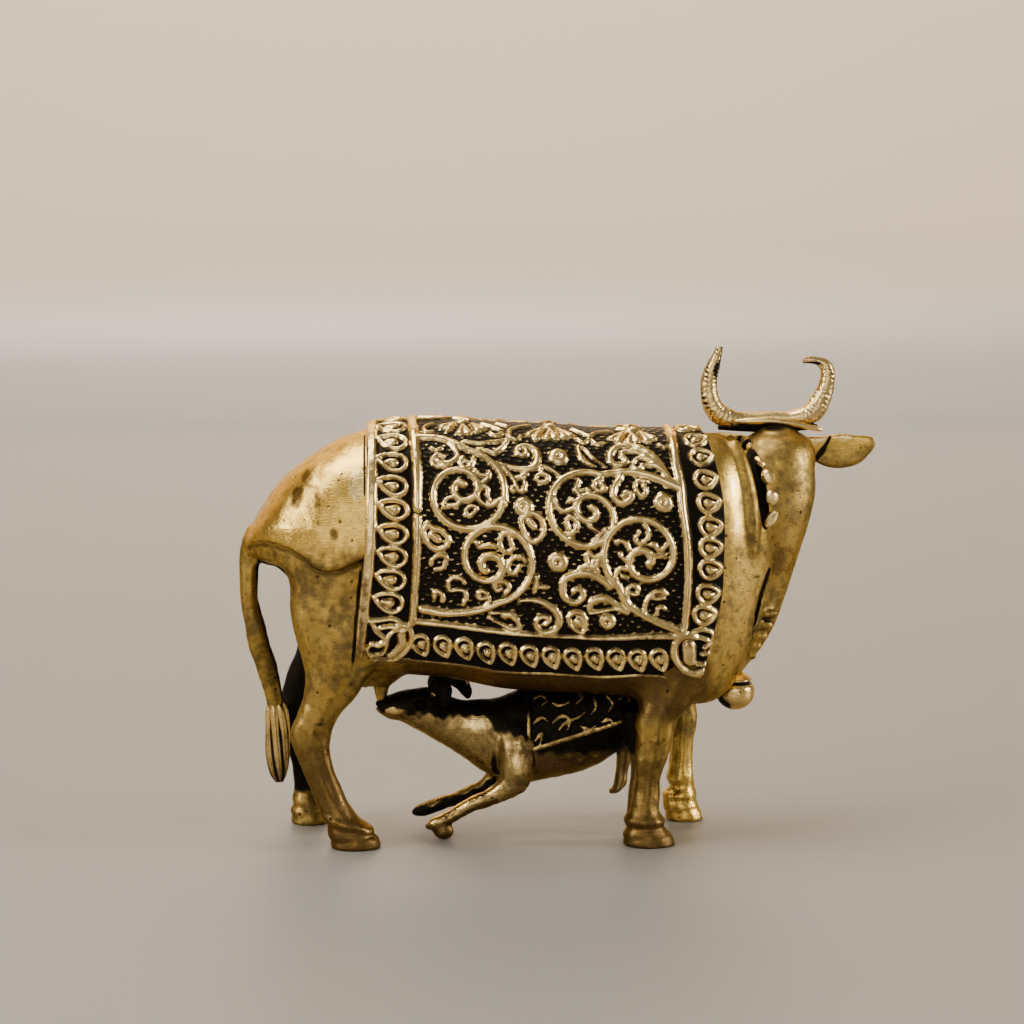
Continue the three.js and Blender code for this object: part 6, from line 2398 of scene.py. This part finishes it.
# Places on the calf: strength, middle and size on each axis.
CALF_SOOT = ((0.5, (-16.9, -2.2, 16.9), (0.8, 0.7, 0.6)), (0.9, (-7.9, -2.6, 8.6), (0.55, 1.8, 2.6)))
# Painted highlights on the calf's face, ears, neck and body.
CALF_PAINTED_HIGHLIGHTS = (
    (1.5, (-10, -2.2, 14.4), (1.5, 1.6, 0.9)), (1.2, (-20.4, -1.5, 16.1), (1, 1, 0.35)),
    (1.4, (-15.6, -2.3, 18.1), (0.55, 0.9, 0.35)), (1.2, (-10.9, 3.2, 19), (0.5, 1.4, 0.6)),
    (0.9, (-17.6, -1.9, 18.3), (0.9, 0.8, 0.18)), (1, (-17.3, -2, 16.9), (0.3, 0.8, 0.3)),
    (0.6, (5, -2.6, 10.2), (0.5, 1.5, 0.35)), (0.6, (3, -2.8, 9.6), (0.4, 1.5, 0.3)),
)
# Painted highlights on the calf's near shoulder.
SHOULDER_PAINTED_HIGHLIGHTS = ((1.2, (-4.5, -4.8, 12.5), (1.0, 2.5, 0.9)), (1.2, (-4.9, -4.8, 9.8), (0.9, 2.5, 1.0)))


@dataclass
class Calf:
    """The crouching calf, its head lifted to the teat, with the pebble under its forefoot.

    Attributes:
        blend: How widely its limbs are rounded into the body.
        pitch: Spacing of the block's planes.
        midline: y of the middle of its head.
    """

    blend: float = 1.0
    pitch: float = 0.19
    midline: float = 0.5

    @staticmethod
    def distance(x: Array, y: Array, z: Array) -> Array:
        """Distance to the body, whose cuts square to x are ellipses.

        Args:
            x, y, z: Places, for broadcasting.

        Returns:
            The distance at the places.
        """
        top, under, half, middle = table_at(CALF, x)
        cz, reach = (top + under) / 2, (top - under) / 2
        measure = np.hypot((y - middle) / half, (z - cz) / reach)
        return cut_distance(x, np.hypot(y - middle, z - cz), measure, (CALF[0, 0], CALF[-1, 0]))

    def wax(self) -> WaxBlock:
        """Melts the calf's forms together.

        Returns:
            The block.
        """
        axes = (planes((low, high, self.pitch)) for low, high in ((-24, 14), (-6, 8), (-0.4, 21)))
        block = WaxBlock(*axes)
        block.join(self.distance, (-24, -6, 3), (14, 8, 21), 0.01)
        for path in CALF_LIMBS:
            block.join(path_shape(spline(path, 3), LEFTWARD), *box_of(path[:, :3], 4), self.blend)
        for s in (-1, 1):
            ear_root = ball_shape((-15.3, self.midline + s * 1.7, 18.9), (0.9, 0.9, 1.2))
            block.join(ear_root, (-19, -5, 15), (-11, 6, 22), 0.5)
        for path in CALF_EARS:
            block.join(path_shape(spline(path, 4), LEFTWARD), *box_of(path[:, :3], 3), 0.4)
        block.join(ball_shape((-14.3, -2.8, 0.95), (1.3, 1.2, 0.95)), (-18, -6, -1), (-11, 1, 4), 0.6)
        self.shape_face(block)

        def worked(x: Array, y: Array, z: Array) -> Array:
            """Tool marks."""
            return 0.05 * wander(x, y, z, 0.7, 2.0) + 0.08 * wander(x, y, z, 1.8, 5.0)

        block.press((-24, -6, -1), (14, 8, 21), worked)
        block.stand()
        return block

    def shape_face(self, block: WaxBlock) -> None:
        """Eyes with their brows, nostrils and the mouth.

        Args:
            block: What the forms are melted into.
        """
        low, high = (-20, -4, 14), (-14, 5, 20)
        for s in (-1, 1):
            socket, ball = ((-17.0, self.midline + s * out, 16.9) for out in (2.05, 1.75))
            block.carve(ball_shape(socket, (0.75, 0.5, 0.55)), low, high, 0.25)
            block.join(ball_shape(ball, (0.42, 0.4, 0.36)), low, high, 0.1)
            brow = spline(np.array([
                [-18.0, self.midline + s * 1.7, 17.5, 0.22, 0.22],
                [-16.9, self.midline + s * 1.9, 17.8, 0.28, 0.28],
                [-15.8, self.midline + s * 2.1, 17.3, 0.2, 0.2],
            ]), 4)
            block.join(path_shape(brow, LEFTWARD), (-20, -4, 15), (-13, 5, 20), 0.3)
            nostril = ball_shape((-22.1, 0.2 + s * 0.8, 16.9), (0.32, 0.25, 0.22))
            block.carve(nostril, (-24, -3, 15), (-20, 4, 18), 0.15)
        block.carve(path_shape(spline(CALF_MOUTH, 4), LEFTWARD), (-24, -4, 13), (-18, 4, 18), 0.2)

    def skin(self) -> Skin:
        """The calf's surface with the marks that its finish reads.

        Returns:
            The surface.
        """
        block = self.wax()
        skin = block.skin(3)
        p = skin.points
        x, y, z = p.T
        near_leg, far_leg = (np.interp(x, limb[::-1, 0], limb[::-1, 2]) for limb in CALF_LIMBS[:2])
        fore = (x < -7.5) & (z < 7.5)
        near_fore, far_fore = fore & (y < 1), fore & (y > 1)
        behind = smooth_step(-4.2, -3.2, x)
        # Painted highlights, which also take black and brown away where they fall.
        shine = spots(p, CALF_PAINTED_HIGHLIGHTS)
        belly = lump(p, (0.0, -3.0, 9.2), (4.0, 3.0, 1.1))
        pebble = lump(p, (-14.3, -2.8, 0.7), (1.6, 1.6, 1.0))

        uneven = 0.5 * wander(x, y, z, 1.6, 3.0) + 0.35 * wander(x, y, z, 0.7, 1.0)
        # Painted shade: the calf is painted dark above the edge line, where the cow's belly shades it, a
        # little less behind its arm.
        shade_under_cow = smooth_step(-2.0, 1.0, z + uneven - np.interp(x, *CALF_SHADE_EDGE.T))
        over_far = z - far_leg + 0.45 * wander(x, y, z, 1.3, 6.0) - 0.15
        hollow = 1.1 * block.hollows(p, (0.3, 0.7, 1.5)) + spots(p, CALF_SOOT) - shine - 0.5 * belly
        hollow += (0.95 - 0.3 * behind * smooth_step(14, 12, z)) * shade_under_cow
        # Painted shade on the far foreleg, below its upper edge.
        hollow += 0.85 * far_fore * smooth_step(0.6, 0.0, over_far)
        # Painted highlights on the shoulder, face and neck and on the top of the near foreleg, with painted
        # shade along its underside.
        polish = spots(p, SHOULDER_PAINTED_HIGHLIGHTS) + shine - 0.1
        polish += 0.7 * near_fore * smooth_step(0.1, 0.6, z - near_leg)
        stain = 0.4 + 0.5 * pebble + 0.35 * near_fore * smooth_step(0.1, -0.5, z - near_leg)
        stain += 0.25 * behind - 0.3 * shine
        copper = 0.8 * belly + 0.3 * smooth_step(-14, -20, x)
        skin.marks = {"hollow": np.maximum(hollow, 0), "copper": copper, "polish": polish, "stain": stain}
        return skin

    def build(self) -> None:
        """Makes the calf a piece."""
        self.skin().piece("calf", CALF_BRASS)


# Broken scrolls on the calf's cloth: the places (x, depth from its spine) that each runs through.
CALF_SCROLLS = (
    ((-2.9, 3.6), (-1.9, 3.2), (-1.3, 4), (-2, 4.6)), ((-0.6, 4.4), (0.4, 4.8), (1.6, 4.6)),
    ((2.6, 3.2), (3.2, 4.2), (2.4, 4.9)), ((4.6, 4.2), (4.9, 5.4), (4.2, 6.2)),
    ((6.2, 4), (7, 4.8), (6.4, 5.8)), ((-3, 6.4), (-2, 5.9), (-1.2, 6.4)),
    ((-0.6, 6.6), (0.6, 6), (1.6, 6.6), (1.2, 7.6)), ((0.2, 7.4), (1, 6.8), (2.6, 6.4), (3.6, 5.9)),
    ((-2.8, 8.2), (-2, 7.6), (-2.2, 8.8)), ((3.2, 2.2), (4.4, 2.6), (5.4, 2.2)),
    ((-2.4, 1.6), (-1.2, 2), (-0.4, 1.4)), ((7.4, 2.6), (8.2, 3.4), (7.8, 4.2)),
    ((0.6, 2.4), (1.4, 1.8), (2.2, 2.4)), ((5.6, 7), (6.6, 6.6), (7.2, 7.2)),
    ((3, 7.4), (4, 7.8), (4.8, 7.4)),
)


@dataclass
class CalfCloth:
    """Smaller cloth over the calf: dark, with broken scrolls and a raised lower rim.

    Attributes:
        ends: Where it starts and stops along the calf.
        rim: Height of its lower rim at the two ends.
        ground: How far its ground stands off the calf.
        root: How far inside the calf its hidden face lies.
        relief: Height of the scrolls above the ground.
        grid: Points along and across.
    """

    ends: Pair = (-3.9, 9.4)
    rim: Pair = (10.9, 14.7)
    ground: float = 0.22
    root: float = -0.7
    relief: float = 0.3
    grid: tuple[int, int] = (90, 170)

    @staticmethod
    def surface(x: Array, angle: Array, lift: Array | float) -> Array:
        """Point of the calf at x and an angle from its spine, held off by a lift.

        Args:
            x: Places along the calf.
            angle: Angles in radians.
            lift: Distance outside the calf.

        Returns:
            The points.
        """
        top, under, half, middle = table_at(CALF, x)
        y = middle - (half + lift) * np.sin(angle)
        z = (top + under) / 2 + ((top - under) / 2 + lift) * np.cos(angle)
        return np.stack(np.broadcast_arrays(x, y, z), -1)

    def rise(self, x: Array, depth: Array, edge: Array) -> Array:
        """Height of the relief: scrolls, the raised rims and a little unevenness.

        Args:
            x: Places along the calf.
            depth: Way down from its spine.
            edge: The depth at which the cloth ends.

        Returns:
            The height above the ground.
        """
        sheet = Relief(x, depth)
        for places in CALF_SCROLLS:
            sheet.ridge(spline(np.array(places), 5), (0.14, 0.36, 0.2, 0.12), self.relief)
        from_end = np.minimum(x - self.ends[0], self.ends[1] - x)
        rim = self.relief * 1.1 * np.sqrt(np.clip(1 - ((edge - depth - 0.3) / 0.34) ** 2, 0, 1))
        ends = self.relief * np.sqrt(np.clip(1 - ((from_end - 0.3) / 0.32) ** 2, 0, 1))
        height = np.maximum(np.maximum(sheet.height, rim), ends)
        return height + 0.05 * wander(x, depth, 0 * x, 0.5, 2.0)

    def build(self) -> None:
        """Face with its relief over the back, closed by the same grid pressed into the calf."""
        rows, columns = self.grid
        share = np.linspace(0, 1, rows)[:, None]
        turn = np.linspace(-1, 1, columns)[None, :]
        x = self.ends[0] + (self.ends[1] - self.ends[0]) * share + 0 * turn
        top, under, half, _ = table_at(CALF, x)
        low = self.rim[0] + (self.rim[1] - self.rim[0]) * share
        angle = turn * np.arccos(np.clip((2 * low - top - under) / (top - under), -1, 1))
        radius = (half + (top - under) / 2) / 2
        depth = np.abs(angle) * radius
        height = self.rise(x, depth, np.abs(angle).max(axis=1)[:, None] * radius)

        count = rows * columns
        border = grid_border(rows, columns)
        ahead = np.roll(border, -1)
        wall = np.stack([border, count + border, count + ahead, ahead], -1)
        faces = grid_faces(rows, columns, False)
        face = self.surface(x, angle, self.ground + height)
        hidden = self.surface(x, angle, self.root)
        shade = 1.2 - 0.95 * smooth_step(0.12, 0.28, height)
        # Painted shade on the upper part of the cloth's front end.
        shade += 0.5 * smooth_step(6.5, 4.5, depth) * (x < self.ends[0] + 0.7)
        shade -= 0.15 * smooth_step(0.2, 0.8, wander(x, depth, 0 * x, 1.1, 1.0))
        skin = Skin(
            np.vstack([face.reshape(-1, 3), hidden.reshape(-1, 3)]),
            np.vstack([faces, faces[:, ::-1] + count, wall]),
            marks={"hollow": np.concatenate([shade.ravel(), np.ones(count)])},
        )
        skin.outward().piece("calf_cloth", CALF_BRASS, 50)


@dataclass(frozen=True)
class Lamp:
    """Square soft light that faces a target.

    Attributes:
        name: Its name.
        place: Where it hangs, metres.
        size: Length of its side, metres.
        power: Watts.
        colour: Its light.
        target: What it faces, metres.
        spread: Angle of its light, degrees.
    """

    name: str
    place: Triple
    size: float
    power: float
    colour: Colour
    target: Triple = (0.0, 0.0, 0.03)
    spread: float = 180.0

    def hang(self) -> None:
        """Makes the light."""
        data = bpy.data.lights.new(self.name, "AREA")
        data.shape = "SQUARE"
        data.size = self.size
        data.energy = self.power
        data.color = self.colour
        data.spread = math.radians(self.spread)
        lamp = bpy.data.objects.new(self.name, data)
        lamp.location = self.place
        lamp.rotation_mode = "QUATERNION"
        lamp.rotation_quaternion = (Vector(self.target) - Vector(self.place)).to_track_quat("-Z", "Y")
        bpy.context.scene.collection.objects.link(lamp)


LAMPS = (
    Lamp("soft_top", (-0.25, 0.05, 0.8), 0.5, 7.5, (1.0, 0.96, 0.89)),
    Lamp("soft_left", (-0.75, -0.35, 0.45), 0.35, 4.5, (1.0, 0.96, 0.90)),
    Lamp("soft_right", (0.75, -0.12, 0.26), 0.24, 4.5, (1.0, 0.98, 0.95)),
    Lamp("soft_front", (-0.15, -1.3, 0.35), 0.9, 4.6, (1.0, 0.96, 0.90)),
    Lamp("wall_wash", (0.0, 0.0, 0.9), 0.5, 4.6, (1.0, 0.92, 0.82), (0.0, 0.55, 0.42), 70.0),
)


@dataclass
class Studio:
    """Pale floor that sweeps up behind, soft lights, and a camera where the photograph was taken from.

    Attributes:
        camera_place: In the maker's frame, mm.
        azimuth, elevation: Which way it looks from, degrees.
        lens: Focal length over a 36 mm frame.
        wall: How far behind the wall stands, metres.
        sweep: Radius of the sweep up to it.
        floor_tones: The two colours that cloud the floor.
        wall_tone: Colour of the wall.
        daylight, daylight_strength: Light from all round.
    """

    camera_place: Triple = (-22.858, -396.2, 93.16)
    azimuth: float = -2.5
    elevation: float = 7.5
    lens: float = 112.5
    wall: float = 0.55
    sweep: float = 0.05
    floor_tones: tuple[Colour, Colour] = ((0.235, 0.216, 0.190), (0.26, 0.24, 0.212))
    wall_tone: Colour = (0.54, 0.42, 0.305)
    daylight: Colour = (0.86, 0.82, 0.76)
    daylight_strength: float = 0.32

    def floor(self) -> None:
        """Level floor with a rounded sweep up to a wall, as a profile carried across."""
        t = np.linspace(0, np.pi / 2, 16)
        along = np.concatenate([[-2.2], self.wall - self.sweep + self.sweep * np.sin(t), [self.wall]])
        up = np.concatenate([[0.0], self.sweep - self.sweep * np.cos(t), [2.4]])
        across = np.array([-3.0, 3.0])
        places = np.broadcast_arrays(across[None, :], along[:, None], up[:, None])
        points = np.stack(places, -1).reshape(-1, 3)
        mesh = bpy.data.meshes.new("floor")
        mesh.from_pydata(points.tolist(), [], grid_faces(len(along), 2, False)[:, ::-1].tolist())
        mesh.polygons.foreach_set("use_smooth", np.ones(len(mesh.polygons), bool))
        sheet = NodeSheet("pale_floor")
        place = sheet.add("TexCoord").outputs["Object"]
        height = sheet.add("SeparateXYZ", {0: place}).outputs[2]
        colour = sheet.blend(sheet.noise(place, 3.0, 3), *self.floor_tones)
        colour = sheet.blend(sheet.ramp(height, 0.008, 0.06), colour, self.wall_tone)
        mesh.materials.append(sheet.finish({"Base Color": colour, "Roughness": 0.45}))
        floor = bpy.data.objects.new("floor", mesh)
        bpy.context.scene.collection.objects.link(floor)

    def surroundings(self) -> None:
        """Even light from all round."""
        world = bpy.data.worlds.new("studio")
        world.use_nodes = True
        background = world.node_tree.nodes["Background"]
        background.inputs["Color"].default_value = (*self.daylight, 1.0)
        background.inputs["Strength"].default_value = self.daylight_strength
        bpy.context.scene.world = world

    def camera(self) -> None:
        """Camera at the photograph's place and angle."""
        a, e = math.radians(self.azimuth), math.radians(self.elevation)
        back = Vector((math.sin(a) * math.cos(e), -math.cos(a) * math.cos(e), math.sin(e)))
        data = bpy.data.cameras.new("camera")
        data.lens = self.lens
        data.sensor_width = 36.0
        data.clip_start, data.clip_end = 0.01, 20.0
        camera = bpy.data.objects.new("camera", data)
        camera.location = (np.array(self.camera_place) + CAST_SHIFT) * MM
        camera.rotation_mode = "QUATERNION"
        camera.rotation_quaternion = (-back).to_track_quat("-Z", "Y")
        bpy.context.scene.collection.objects.link(camera)
        bpy.context.scene.camera = camera

    def build(self) -> None:
        """Makes the floor, lights, surroundings and camera."""
        self.floor()
        for lamp in LAMPS:
            lamp.hang()
        self.surroundings()
        self.camera()


def main() -> None:
    logging.basicConfig(level=logging.INFO, format="%(message)s")
    cow = Cow()
    block = cow.wax()
    cow.build(block)
    HeadGear().build()
    TailTuft().build()
    SaddleCloth().build()
    Necklace().build(block)
    Calf().build()
    CalfCloth().build()
    Studio().build()


if __name__ == "__main__":
    main()
